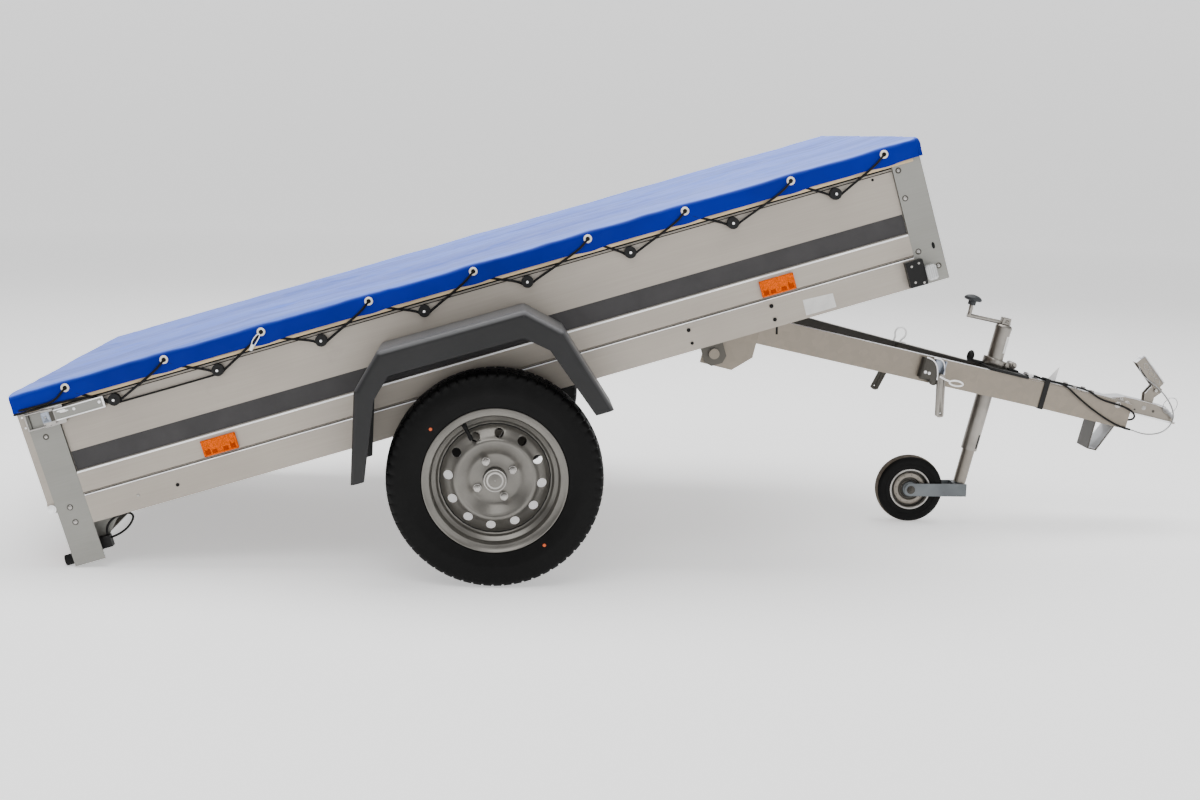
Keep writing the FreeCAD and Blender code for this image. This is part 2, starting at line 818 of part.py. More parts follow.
def turned_in_flats(section, count):
    """A closed section of y and radius turned about the wheel axis in even flat steps."""
    rings = []
    for turn in even_turns(count, 0):
        rings.append([point(r * math.cos(turn), y, r * math.sin(turn)) for y, r in section])
    faces = []
    for ring, after in zip(rings, rings[1:] + rings[:1]):
        for here in range(len(section)):
            there = (here + 1) % len(section)
            faces.append(Part.Face(Part.makePolygon([ring[here], ring[there], after[there], after[here], ring[here]])))
    shell = Part.makeShell(faces)
    shell.sewShape()
    solid = Part.makeSolid(shell)
    return solid if solid.Volume > 0 else solid.reversed()


def tyre(side):
    """A road tyre: bead, bulged walls, round shoulders and tread; its blocks are left to the looks."""
    wide = tyre_width / 2
    tread = tyre_tread_width / 2
    flange = flange_line(rim_flange_radius) - seat_gap
    wall_share, wall_rise_share = 0.62, 0.33
    shoulder_shares = ((0.93, 0.42), (0.58, 0.80))
    right = [(bead_half - seat_gap, rim_bead_radius + seat_gap), (flange, rim_flange_radius),
             (flange + (wide - flange) * wall_share,
              rim_flange_radius + (tyre_widest_radius - rim_flange_radius) * wall_rise_share),
             (wide, tyre_widest_radius)]
    for across, up in shoulder_shares:
        right.append((tread + (wide - tread) * across, tyre_widest_radius + (tyre_radius - tyre_widest_radius) * up))
    right.append((tread, tyre_radius))
    left = [(-y, r) for y, r in right[::-1]]
    ring = turned_in_flats(right + left, tyre_flats)
    return ring.translated(point(0, side * wheel_track / 2, 0))


def placed_wheel(shape, side):
    """A wheel piece, made for the far side, put on its side."""
    moved = shape.translated(point(0, wheel_track / 2, 0))
    return moved if side > 0 else mirrored(moved)


def flange_line(radius):
    """Half the width between the rim's flanges at a radius, along their slope."""
    slope = (tyre_width / 2 - bead_half) / (tyre_widest_radius - rim_bead_radius)
    return bead_half + (radius - rim_bead_radius) * slope


def pressed_rim():
    """The rim band and the pressed disc, turned as one steel wheel, with its holes."""
    wall = rim_wall
    bead = rim_bead_radius
    well = rim_well_radius
    face = disc_outset
    well_half = rim_well_width / 2
    top = rim_flange_radius
    flange = flange_line(top)
    outside = [(-flange - wall, top), (-flange, top), (-bead_half, bead), (-well_half - wall * 2, bead),
               (-well_half, well), (well_half, well), (well_half + wall * 2, bead), (bead_half, bead),
               (flange, top), (flange + wall, top), (bead_half + wall, bead - wall), (well_half + wall, bead - wall)]
    dish_shares = ((1.06, 0.85), (1.44, 0.68), (1.52, 0.62), (1.0, 0.40))
    dish_front = [(face * across, (bead - wall) * up) for across, up in dish_shares]
    dish_front.append((face, disc_centre_radius))
    dish_back = [(y - wall, r) for y, r in dish_front[::-1]]
    tail = [(face - wall, well - wall), (-well_half, well - wall), (-well_half - wall * 2, bead - wall), (-bead_half - wall, bead - wall)]
    front_root = [(face, well - wall)]
    wheel = revolved(outside + front_root + dish_front + dish_back + tail)
    for turn in even_turns(vent_count, vent_first_turn):
        middle = (vent_circle * math.cos(turn), vent_circle * math.sin(turn))
        wheel = wheel.cut(faceted_rod(vent_radius, vent_corners, middle, 0, tyre_width))
    for turn in even_turns(stud_count, stud_first_turn):
        middle = (stud_circle * math.cos(turn), stud_circle * math.sin(turn))
        wheel = wheel.cut(faceted_rod(stud_hole_radius, stud_corners, middle, 0, tyre_width))
    return wheel


def even_turns(count, first):
    """Angles spaced evenly around a wheel, the first given in degrees."""
    return [math.radians(first) + 2 * math.pi * index / count for index in range(count)]


def hub():
    """The wheel hub with its flange, bored for the stub axle."""
    back = disc_outset - rim_wall - seat_gap
    flange = rod(hub_flange_radius, point(0, back - hub_flange_thick, 0), point(0, back, 0))
    inner_end = arm_side_place + arm_thick + running_gap * 4 - wheel_track / 2
    body = rod(hub_body_radius, point(0, inner_end, 0), point(0, back, 0))
    nose = rod(cap_radius, point(0, back - hub_flange_thick, 0), point(0, disc_outset + cap_length, 0))
    whole = fused([flange, body, nose])
    bore_end = disc_outset + cap_length - cap_wall
    return whole.cut(rod(hub_bore_radius, point(0, inner_end - overrun, 0), point(0, bore_end, 0)))


def guard_solid(outline, y0, y1, radius):
    """A mudguard's outline as a solid, rounded along its outer edge and its bends."""
    solid = side_prism(outline, y0, y1)
    foot = min(z for x, z in outline)
    rounded = []
    for edge in solid.Edges:
        box = edge.BoundBox
        if box.ZMax - foot < radius:
            continue
        across = box.YLength > radius
        outer = box.YMin > y1 - radius
        if across and box.ZMin - foot > radius or outer:
            rounded.append(edge)
    return solid.makeFillet(radius, rounded)


def mudguard(side):
    """A moulded mudguard: a bent tread with a skirt outside and a low flange inside."""
    y0 = half_width + seat_gap
    y1 = half_width + guard_width
    outline = list(guard_outline)
    opening = list(guard_opening)
    foot = min(z for x, z in outline)
    outer = guard_solid(outline, y0, y1, guard_edge_radius)
    inner = inset_outline(outline, guard_sheet, foot)
    shell = outer.cut(guard_solid(inner, y0 + guard_sheet, y1 - guard_sheet, guard_edge_radius - guard_sheet))
    low = [(x, z - overrun if z < foot + overrun else z) for x, z in opening]
    shell = shell.cut(side_prism(low, (y0 + y1) / 2, y1 + overrun))
    flange = inset_outline(outline, guard_inner_flange, foot)
    shell = shell.cut(side_prism(flange, y0 - overrun, (y0 + y1) / 2))
    rear = outline[0][0]
    shell = shell.cut(block(rear - overrun, rear + guard_inner_flange * 2, y0 - overrun,
                            y0 + guard_inner_flange, foot - overrun, foot + guard_inner_rise))
    return shell if side > 0 else mirrored(shell)


def inset_outline(outline, depth, foot):
    """An open outline moved in by a depth, with its feet run out below."""
    inner = [inset_corner(outline, index, depth) for index in range(len(outline))]
    feet = []
    for here, above in ((0, 1), (-1, -2)):
        x0, z0 = inner[here]
        x1, z1 = inner[above]
        low = foot - overrun
        feet.append((x0 + (x1 - x0) * (low - z0) / (z1 - z0), low))
    inner[0], inner[-1] = feet
    return inner


def inset_corner(outline, index, depth):
    """A corner of an open outline, moved in by a wall's thickness."""
    x, z = outline[index]
    normals = []
    for start, end in ((index - 1, index), (index, index + 1)):
        if start < 0 or end >= len(outline):
            continue
        dx = outline[end][0] - outline[start][0]
        dz = outline[end][1] - outline[start][1]
        length = math.hypot(dx, dz)
        normals.append((dz / length, -dx / length))
    if len(normals) == 1:
        return (x + normals[0][0] * depth, z + normals[0][1] * depth)
    sum_x = normals[0][0] + normals[1][0]
    sum_z = normals[0][1] + normals[1][1]
    scale = 2 / (sum_x * sum_x + sum_z * sum_z)
    return (x + sum_x * scale * depth, z + sum_z * scale * depth)


def tip_bracket(side):
    """A bed-side bracket that carries the tip hinge's pin."""
    outer = half_width - sheet - seat_gap
    ear_in = ear_side_place + ear_thick + swing_gap
    top = floor_level - bracket_top_drop
    low = bed_bottom + sheet + seat_gap
    x0 = bracket_rear_place
    x1 = bracket_front_place
    wall = block(x0, x1, outer - bracket_thick, outer, low, top)
    shelf = block(x0, x1, ear_in, outer, low, low + bracket_thick)
    ear_x0 = tip_hinge_forward - bracket_ear_width / 2
    ear_x1 = ear_x0 + bracket_ear_width
    ear = block(ear_x0, ear_x1, ear_in, ear_in + bracket_thick, tip_hinge_height - bracket_ear_drop, low + bracket_thick)
    corner = bracket_ear_width / 4
    for x, far in ((ear_x0, ear_x0 + corner), (ear_x1, ear_x1 - corner)):
        z = tip_hinge_height - bracket_ear_drop
        ear = ear.cut(side_prism([(x, z), (far, z), (x, z + corner)], ear_in - overrun, ear_in + bracket_thick + overrun))
    bracket = fused([wall, shelf, ear])
    pin_hole = rod(tip_pin_radius + running_gap, point(tip_hinge_forward, ear_in - overrun, tip_hinge_height),
                   point(tip_hinge_forward, ear_in + bracket_thick + overrun, tip_hinge_height))
    bracket = bracket.cut(pin_hole)
    return bracket if side > 0 else mirrored(bracket)


drawbar_top = floor_level - swing_gap
hinge_along = tip_hinge_forward - drawbar_zero
hinge_drop = tip_hinge_height - drawbar_top


def beam_outside(along):
    """Half the width over a beam's outer face at a place along the drawbar."""
    rear = hinge_along + cross_channel_depth
    if along <= beam_bend_along:
        share = (along - rear) / (beam_bend_along - rear)
        return beam_rear_half + (beam_bend_half - beam_rear_half) * share
    share = (along - beam_bend_along) / (beam_front_along - beam_bend_along)
    return beam_bend_half + (beam_front_half - beam_bend_half) * share


def plan_prism(outline, z0, z1):
    """An outline seen from above, pushed up from one height to another."""
    points = [point(x, y, z0) for x, y in outline]
    return prism(points, point(0, 0, z1 - z0))


def beam(side):
    """A drawbar beam: a channel, open inward, bent near the coupling."""
    rear = hinge_along + cross_channel_depth + seat_gap
    bend = beam_bend_along
    front = beam_front_along
    stations = (rear, bend, front)
    outside = [(x, beam_outside(x)) for x in stations]

    def strip(inset, width):
        far = [(x, y - inset) for x, y in outside]
        near = [(x, y - inset - width) for x, y in outside[::-1]]
        return far + near

    web = plan_prism(strip(0, beam_sheet), -beam_height, 0)
    upper = plan_prism(strip(0, beam_flange), -beam_sheet, 0)
    lower = plan_prism(strip(0, beam_flange), -beam_height, -beam_height + beam_sheet)
    shape = fused([web, upper, lower])
    return shape if side > 0 else mirrored(shape)


def cross_channel():
    """The drawbar's rear channel with an ear and pin at each end."""
    x0 = hinge_along
    x1 = x0 + cross_channel_depth
    y1 = ear_side_place - overrun
    outer = block(x0, x1, -y1, y1, -beam_height, 0)
    hollow = block(x0 - overrun, x1 - beam_sheet, -y1 - overrun, y1 + overrun,
                   -beam_height + beam_sheet, -beam_sheet)
    channel = outer.cut(hollow)
    top = -ear_thick
    low = hinge_drop - ear_bottom_drop
    x_rear = hinge_along - ear_rear_reach
    x_front = hinge_along + ear_front_reach
    outline = [(hinge_along, 0), (x_front, 0), (x_front, low + ear_chamfer),
               (x_front - ear_chamfer, low), (x_rear, low), (x_rear, hinge_drop + ear_bottom_drop)]
    shapes = [channel]
    for side in (-1, 1):
        y0 = side * (y1 - overrun)
        y2 = side * (ear_side_place + ear_thick)
        ear = side_prism(outline, side * ear_side_place, y2)
        web = block(x1 - beam_sheet, x1, min(y0, y2), max(y0, y2), -beam_height, 0)
        pin_end = side * (ear_side_place + ear_thick + swing_gap + bracket_thick + running_gap * 2)
        head_end = pin_end + side * tip_head_thick
        pin = rod(tip_pin_radius, point(hinge_along, side * ear_side_place, hinge_drop),
                  point(hinge_along, pin_end, hinge_drop))
        head = rod(tip_head_radius, point(hinge_along, pin_end, hinge_drop),
                   point(hinge_along, head_end, hinge_drop))
        shapes.extend([ear, web, pin, head])
    return fused(shapes)


def tie_plate():
    """The plate that ties the two beams behind the coupling."""
    rear = tie_plate_rear
    front = tie_plate_front
    bend = beam_bend_along
    edge = beam_sheet
    half = [(x, beam_outside(x) - edge) for x in (rear, bend, front)]
    outline = half + [(x, -y) for x, y in half[::-1]]
    return plan_prism(outline, seat_gap, seat_gap + tie_plate_sheet)


def nose_rounded(shape, radius, rear):
    """The coupling's nose with its upright and sloping front corners rounded."""
    corners = [edge for edge in shape.Edges if edge.BoundBox.XMin > rear and edge.BoundBox.YLength < seat_gap]
    return shape.makeFillet(radius, corners)


def coupling_channel(side_start, top, low):
    """The coupling's channel: it rises over the beams' ends and its nose slopes down, round in plan."""
    half = coupling_width / 2
    wall = coupling_sheet
    tip = coupling_nose_along + coupling_tip_reach
    bend = coupling_nose_along + coupling_bend_ahead
    cheek = coupling_cheek_along
    crown = cheek + coupling_crown_run
    flat = seat_gap + wall
    outer = side_prism([(cheek, seat_gap), (cheek, flat), (crown, top), (bend, top), (tip, -coupling_tip_drop), (tip, low),
                        (side_start, low), (side_start, seat_gap)], -half, half)
    outer = nose_rounded(outer, coupling_corner_radius, bend - seat_gap)
    inner = side_prism([(cheek + wall * 2, seat_gap - wall), (crown, top - wall), (bend - wall / 2, top - wall),
                        (tip - wall, -coupling_tip_drop - wall / 2), (tip - wall, low - overrun),
                        (side_start - overrun, low - overrun), (side_start - overrun, seat_gap - wall)], wall - half, half - wall)
    inner = nose_rounded(inner, coupling_corner_radius - wall, bend - wall)
    return outer.cut(inner)


def coupling_foot(side_start, low):
    """The flange that runs round the foot of the coupling's channel."""
    half = coupling_width / 2
    wall = coupling_sheet
    tip = coupling_nose_along + coupling_tip_reach
    outer = block(side_start, tip + coupling_lip, -half - coupling_lip, half + coupling_lip, low, low + wall)
    outer = nose_rounded(outer, coupling_corner_radius + coupling_lip, tip)
    inner = block(side_start - overrun, tip - wall, wall - half, half - wall, low - overrun, low + wall + overrun)
    return outer.cut(nose_rounded(inner, coupling_corner_radius - wall, tip - wall - seat_gap))


def handle_ears(top):
    """The two ears on the coupling that carry the handle's pin, leaning forward to it."""
    inside = handle_neck_width / 2 + seat_gap
    reach = handle_ear_reach
    shoulder_shares = ((0.06, -1.18), (1.02, -0.04), (1.02, 0.6), (0.1, 0.94), (-0.91, 0.78), (-1.73, -0.84))
    foot_rear_share, foot_front_share = -1.47, 0.06
    low = top - coupling_sheet / 2
    outline = [(handle_pin_along + reach * foot_rear_share, low), (handle_pin_along + reach * foot_front_share, low)]
    for along, up in shoulder_shares:
        outline.append((handle_pin_along + reach * along, handle_pin_rise + reach * up))
    ear = side_prism(outline, inside, inside + handle_ear_thick)
    return [ear, mirrored(ear)]


def coupling():
    """The pressed coupling: a channel over the beams' ends, its nose rounded, with a ball socket."""
    nose = coupling_nose_along
    rear = coupling_rear_along
    cheek = coupling_cheek_along
    half = coupling_width / 2
    flat = seat_gap + coupling_sheet
    top = flat + coupling_crown
    low = -coupling_cheek_depth
    flange_half = beam_front_half + coupling_sheet
    side_start = beam_front_along + seat_gap
    plate = plan_prism([(rear, -flange_half), (cheek, -flange_half), (cheek + half, -half),
                        (cheek + half, half), (cheek, flange_half), (rear, flange_half)], seat_gap, flat)
    shapes = [plate, coupling_channel(side_start, top, low), coupling_foot(side_start, low)]
    shapes.extend(handle_ears(top))
    pin_y = handle_neck_width / 2 + seat_gap + handle_ear_thick
    shapes.append(rod(handle_pin_radius, point(handle_pin_along, -pin_y, handle_pin_rise),
                      point(handle_pin_along, pin_y, handle_pin_rise)))
    shapes.append(rod(socket_radius + coupling_sheet, point(nose, 0, -socket_drop), point(nose, 0, -coupling_tip_drop)))
    shapes.append(block(nose - coupling_tip_reach, nose, -half, half, -coupling_tip_drop - coupling_sheet, -coupling_tip_drop))
    body = fused(shapes)
    bore = rod(socket_radius, point(nose, 0, -socket_drop - overrun), point(nose, 0, -socket_drop + socket_depth))
    return body.cut(bore)


def strap(start, end, thick, half):
    """A flat bar between two places along and above the drawbar, centred across it."""
    dx = end[0] - start[0]
    dz = end[1] - start[1]
    length = math.hypot(dx, dz)
    nx = -dz / length * thick / 2
    nz = dx / length * thick / 2
    outline = [(start[0] + nx, start[1] + nz), (end[0] + nx, end[1] + nz),
               (end[0] - nx, end[1] - nz), (start[0] - nx, start[1] - nz)]
    ends = [rod(thick / 2, point(x, -half, z), point(x, half, z)) for x, z in (start, end)]
    return fused([side_prism(outline, -half, half)] + ends)


def coupling_handle():
    """The coupling's raised grip: a narrow neck up from its pin, then a deep channel."""
    half = handle_neck_width / 2
    pin = (handle_pin_along, handle_pin_rise)
    knee = (handle_pin_along + handle_knee_forward, handle_pin_rise + handle_knee_rise)
    neck = strap(pin, knee, handle_thick, half)
    boss = rod(handle_boss_radius, point(pin[0], -half, pin[1]), point(pin[0], half, pin[1]))
    grip_half = handle_width / 2
    deep = handle_grip_depth
    length = handle_grip_length
    wall = handle_grip_sheet
    grip = block(-length, 0, -grip_half, grip_half, -deep / 2, deep / 2)
    bends = [edge for edge in grip.Edges if edge.BoundBox.ZMin > deep / 2 - seat_gap]
    grip = grip.makeFillet(handle_edge_radius, bends)
    hollow = block(-length + wall, overrun, -grip_half + wall, grip_half - wall, -deep, deep / 2 - wall)
    grip = grip.cut(hollow.makeFillet(handle_edge_radius - wall,
                                      [edge for edge in hollow.Edges if edge.BoundBox.ZMin > deep / 2 - wall - seat_gap]))
    root = block(-handle_thick * 2, 0, -half, half, -deep / 2, deep / 2)
    grip = fused([grip, root])
    grip = grip.rotated(point(0, 0, 0), point(0, 1, 0), handle_grip_turn)
    grip = grip.translated(point(knee[0], 0, knee[1]))
    handle = fused([neck, boss, grip])
    return handle.cut(rod(handle_pin_radius + running_gap, point(pin[0], -half - overrun, pin[1]),
                          point(pin[0], half + overrun, pin[1])))


def tip_lock(side):
    """A tip lock on a beam: a bracket with cut corners, its pin and a lever that hangs."""
    x0 = lock_along - lock_base_length / 2
    x1 = lock_along + lock_base_length / 2
    y0 = beam_outside(x0) + seat_gap
    y1 = y0 + lock_base_reach
    z1 = -lock_top_drop
    z0 = z1 - lock_base_height
    outer = block(x0, x1, y0, y1, z0, z1)
    hollow = block(x0 + lock_sheet, x1 - lock_sheet, y0 + lock_sheet, y1 + overrun, z0 - overrun, z1 - lock_sheet)
    base = outer.cut(hollow)
    for z, away in ((z0, 1), (z1, -1)):
        corner = end_prism([(y1, z), (y1 - lock_corner, z), (y1, z + away * lock_corner)],
                           x0 - overrun, x1 + overrun)
        base = base.cut(corner)
    pin_z = -lock_pin_drop
    pin = rod(lock_pin_radius, point(x0, (y0 + y1) / 2, pin_z), point(x1, (y0 + y1) / 2, pin_z))
    lever_y0 = y0 + lock_sheet + lock_lever_gap
    lever = block(lock_along - lock_lever_width / 2, lock_along + lock_lever_width / 2,
                  lever_y0, lever_y0 + lock_lever_thick, pin_z - lock_lever_length, pin_z + lock_lever_width / 2)
    ends = [edge for edge in lever.Edges if edge.BoundBox.YLength > lock_lever_thick / 2]
    lever = lever.makeFillet(lock_lever_width / 3, ends)
    lever = lever.rotate(point(lock_along, 0, pin_z), point(0, 1, 0), drawbar_slope_angle)
    shape = fused([base, pin, lever])
    return shape if side > 0 else mirrored(shape)


def jockey_clamp():
    """The clamp that holds the jockey tube: base plate, collar, bolted ears and its handle."""
    x0 = clamp_rear_along
    x1 = clamp_front_along
    z0 = seat_gap
    z1 = z0 + clamp_height
    wide = beam_outside(x0) - beam_sheet
    base = block(x0, x1, -wide, wide, z0, z0 + clamp_base_thick)
    outside = jockey_tube_radius + clamp_collar_wall
    collar = rod(outside, point(jockey_along, 0, -clamp_block_drop), point(jockey_along, 0, z1))
    reach = jockey_along + outside + clamp_boss_reach
    ears = block(jockey_along, reach, -clamp_boss_half, clamp_boss_half, z0, z1)
    bolt_x = jockey_along + outside + clamp_boss_reach / 2
    bolt_z = (z1 + clamp_base_thick) / 2
    bolt_y = clamp_boss_half + clamp_bolt_radius
    bolt = rod(clamp_bolt_radius, point(bolt_x, -bolt_y, bolt_z), point(bolt_x, bolt_y, bolt_z))
    far = jockey_along - clamp_handle_back
    stem_top = z0 + clamp_base_thick + clamp_handle_thick
    stem = block(far, x0 + clamp_boss_reach, -clamp_handle_width / 2, clamp_handle_width / 2,
                 z0 + clamp_base_thick - clamp_handle_thick / 2, stem_top)
    knob = rod(clamp_knob_radius, point(far, 0, stem_top - clamp_knob_height / 2), point(far, 0, stem_top + clamp_knob_height / 2))
    body = fused([base, collar, ears, bolt, stem, knob])
    bore = rod(jockey_tube_radius + seat_gap, point(jockey_along, 0, -clamp_block_drop - overrun),
               point(jockey_along, 0, z1 + overrun))
    return body.cut(bore)


def jockey_outer_tube():
    """The jockey's outer tube with its crank head."""
    x = jockey_along
    shell = tube(jockey_tube_radius, jockey_tube_wall, point(x, 0, -jockey_tube_bottom), point(x, 0, jockey_tube_top))
    cap = rod(jockey_tube_radius, point(x, 0, jockey_tube_top - jockey_tube_wall), point(x, 0, jockey_tube_top))
    head = rod(crank_head_radius, point(x, 0, jockey_tube_top - jockey_tube_wall),
               point(x, 0, jockey_tube_top + crank_head_height))
    return fused([shell, cap, head])


def jockey_crank():
    """The crank's bent arm."""
    z0 = jockey_tube_top + crank_head_height * 0.62
    x0 = jockey_along - crank_head_radius - seat_gap
    x1 = jockey_along - crank_reach
    arm = [point(x0, 0, z0), point(x1, 0, z0 - crank_drop / 4), point(x1, 0, z0 + crank_rise * 2)]
    return bent_wire(crank_wire_radius, arm)


def jockey_knob():
    """The crank's mushroom grip."""
    z0 = jockey_tube_top + crank_head_height * 0.62 + crank_rise * 2 + seat_gap
    x = jockey_along - crank_reach
    stem = rod(crank_knob_radius / 2, point(x, 0, z0), point(x, 0, z0 + crank_knob_height))
    top = rod(crank_knob_radius, point(x, 0, z0 + crank_knob_height / 2), point(x, 0, z0 + crank_knob_height))
    return fused([stem, top])


slope_turn = math.radians(drawbar_slope_angle)
tilt_turn = math.radians(bed_tilt_angle)


def bed_point(x, z):
    """Where a point of the level bed stands when the bed is tipped."""
    stand_x = x * math.cos(tilt_turn) - z * math.sin(tilt_turn)
    stand_z = x * math.sin(tilt_turn) + z * math.cos(tilt_turn) + tyre_radius
    return stand_x, stand_z


def drawbar_origin():
    """Where the drawbar's own origin stands."""
    hinge_x, hinge_z = bed_point(tip_hinge_forward, tip_hinge_height)
    x = hinge_x - hinge_along * math.cos(slope_turn) - hinge_drop * math.sin(slope_turn)
    z = hinge_z + hinge_along * math.sin(slope_turn) - hinge_drop * math.cos(slope_turn)
    return x, z


def jockey_axle():
    """The jockey wheel's axle, along and above the drawbar's top face."""
    origin_x, origin_z = drawbar_origin()
    along = jockey_along - jockey_trail * math.cos(slope_turn)
    standing = origin_z - along * math.sin(slope_turn)
    return along, (jockey_wheel_radius - standing) / math.cos(slope_turn)


def jockey_leg():
    """The jockey's inner tube."""
    along, height = jockey_axle()
    foot = height + jockey_trail * math.sin(slope_turn)
    x = jockey_along
    bottom = foot + fork_height / 2 + running_gap * 2
    top = -jockey_tube_bottom + inner_tube_overlap
    return tube(inner_tube_radius, inner_tube_wall, point(x, 0, bottom), point(x, 0, top))


def jockey_fork():
    """The fork that trails from the jockey's inner tube."""
    along, height = jockey_axle()
    foot = height + jockey_trail * math.sin(slope_turn)
    x = jockey_along
    y1 = fork_half_width
    y0 = y1 - fork_sheet
    half = fork_height / 2
    shapes = []
    for side in (-1, 1):
        cheek = block(along, x + inner_tube_radius, min(side * y0, side * y1), max(side * y0, side * y1),
                      foot - half, foot + half)
        cheek = cheek.rotate(point(x, 0, foot), point(0, 1, 0), -drawbar_slope_angle)
        shapes.append(cheek)
    bridge = block(x - inner_tube_radius, x + inner_tube_radius, -y1, y1, foot - half, foot + half)
    bridge = bridge.rotate(point(x, 0, foot), point(0, 1, 0), -drawbar_slope_angle)
    flat_top = block(x - jockey_trail, x + jockey_trail, -y1 * 2, y1 * 2, foot + half, foot + half * 4)
    bridge = bridge.cut(flat_top)
    stem_top = -jockey_tube_bottom - jockey_travel - swing_gap
    stem = rod(fork_stem_radius, point(x, 0, foot), point(x, 0, stem_top))
    shapes.extend([bridge, stem])
    for side in (-1, 1):
        boss = rod(half, point(along, side * y0, height), point(along, side * y1, height))
        shapes.append(boss)
    shapes.append(rod(tip_pin_radius, point(along, -y1, height), point(along, y1, height)))
    return fused(shapes)


def jockey_tyre():
    """The jockey's solid tyre."""
    half = jockey_wheel_width / 2
    inner = jockey_hub_radius + seat_gap
    deep = jockey_wheel_radius - inner
    tread_shares = ((1.0, 0.55), (0.78, 0.88), (0.34, 1.0))
    right = [(half, inner)] + [(half * across, inner + deep * up) for across, up in tread_shares]
    left = [(-y, r) for y, r in right[::-1]]
    along, height = jockey_axle()
    return turned_in_flats(right + left, jockey_flats).translated(point(along, 0, height))


def jockey_hub():
    """The jockey's pressed hub, bored for its axle."""
    half = jockey_wheel_width / 2
    bore = tip_pin_radius + running_gap
    web = jockey_hub_radius - rim_wall
    section = [(-half, jockey_hub_radius), (half, jockey_hub_radius), (half, web),
               (rim_wall, web), (rim_wall, bore * 2), (half, bore * 2), (half, bore),
               (-half, bore), (-half, bore * 2), (-rim_wall, bore * 2), (-rim_wall, web), (-half, web)]
    along, height = jockey_axle()
    return revolved(section).translated(point(along, 0, height))


def support_foot():
    """The folded foot under the drawbar's nose."""
    middle = beam_front_along - support_inset
    x0 = middle - support_length / 2
    x1 = middle + support_length / 2
    top = -beam_height - seat_gap
    low = top - support_drop
    y1 = support_half_width
    wall = support_sheet
    outline = [(x0, top), (x0, low), (x0 + support_length / 2, low), (x1 + wall, top),
               (x1, top), (x0 + support_length / 2 - wall, low + wall), (x0 + wall, low + wall), (x0 + wall, top)]
    return side_prism(outline, -y1, y1)


def plug_holder():
    """The small fin that holds the plug."""
    x0 = fin_along - fin_length / 2
    z0 = seat_gap * 2 + tie_plate_sheet
    outline = [(x0, z0), (x0 + fin_length, z0), (x0 + fin_length, z0 + fin_height), (x0 + fin_length * 0.7, z0 + fin_height * 0.7)]
    return side_prism(outline, -fin_sheet / 2, fin_sheet / 2)


def cord_tube(route, radius):
    """A round cord along its route: straight runs joined by arcs that touch both."""
    spots = [point(*spot) for spot in route]
    edges = []
    start = spots[0]
    tightest = None
    for before, here, after in zip(spots, spots[1:], spots[2:]):
        reach = cord_arc_share * min((here - before).Length, (after - here).Length)
        back = (before - here).normalize()
        ahead = (after - here).normalize()
        half_turn = (math.pi - back.getAngle(ahead)) / 2
        bend = reach / math.tan(half_turn)
        middle = here + (back + ahead).normalize() * (bend / math.cos(half_turn) - bend)
        edges.append(Part.LineSegment(start, here + back * reach).toShape())
        edges.append(Part.Arc(here + back * reach, middle, here + ahead * reach).toShape())
        start = here + ahead * reach
        tightest = bend if tightest is None else min(tightest, bend)
    edges.append(Part.LineSegment(start, spots[-1]).toShape())
    path = Part.Wire(edges)
    ring = Part.Wire(Part.makeCircle(radius, spots[0], spots[1] - spots[0]))
    tube_solid = path.makePipeShell([ring], True, False)
    print("cord", round(path.Length, 1), "long, tightest arc", round(tightest, 1))
    return tube_solid


def cable_strap():
    """The strap over the near beam's cables, hooked under the beam, and the clip inside the beam's end."""
    x0 = strap_along - strap_width / 2
    x1 = strap_along + strap_width / 2
    outer = beam_outside(x0) + seat_gap
    over = seat_gap * 2 + tie_plate_sheet
    top = over + cable_radius * 2 + seat_gap * 5
    wall = strap_sheet
    inside = outer - beam_flange
    under = -beam_height - seat_gap
    band = end_prism([(-inside, over), (-inside, top + wall), (-outer - wall, top + wall), (-outer - wall, under - wall),
                      (-inside, under - wall), (-inside, under), (-outer, under), (-outer, top), (-inside - wall, top),
                      (-inside - wall, over)], x0, x1)
    end_x, end_y, end_z = drawbar_cable_route[-1]
    far = end_x - seat_gap * 2
    web = beam_outside(far) - beam_sheet - seat_gap
    clip = block(far - clip_length, far, -web, end_y + cable_radius, end_z - clip_height / 2, end_z + clip_height / 2)
    return Part.makeCompound([band, clip])


def lamp_connectors():
    """The rear lamps' plugs on the outer faces of the legs' gussets."""
    y0 = half_width - rear_post_face + post_sheet + seat_gap
    plug = block(-connector_front - connector_length, -connector_front, y0, y0 + connector_thick,
                 connector_top - connector_height, connector_top)
    return both_sides(plug)


def tip_bed(shape):
    """A piece of the level bed, turned as the bed stands."""
    turned = shape.rotated(point(0, 0, 0), point(0, -1, 0), bed_tilt_angle)
    return turned.translated(point(0, 0, tyre_radius))


def slope_drawbar(shape):
    """A piece of the drawbar, turned and moved to where it stands."""
    turned = shape.rotated(point(0, 0, 0), point(0, 1, 0), drawbar_slope_angle)
    x, z = drawbar_origin()
    return turned.translated(point(x, 0, z))


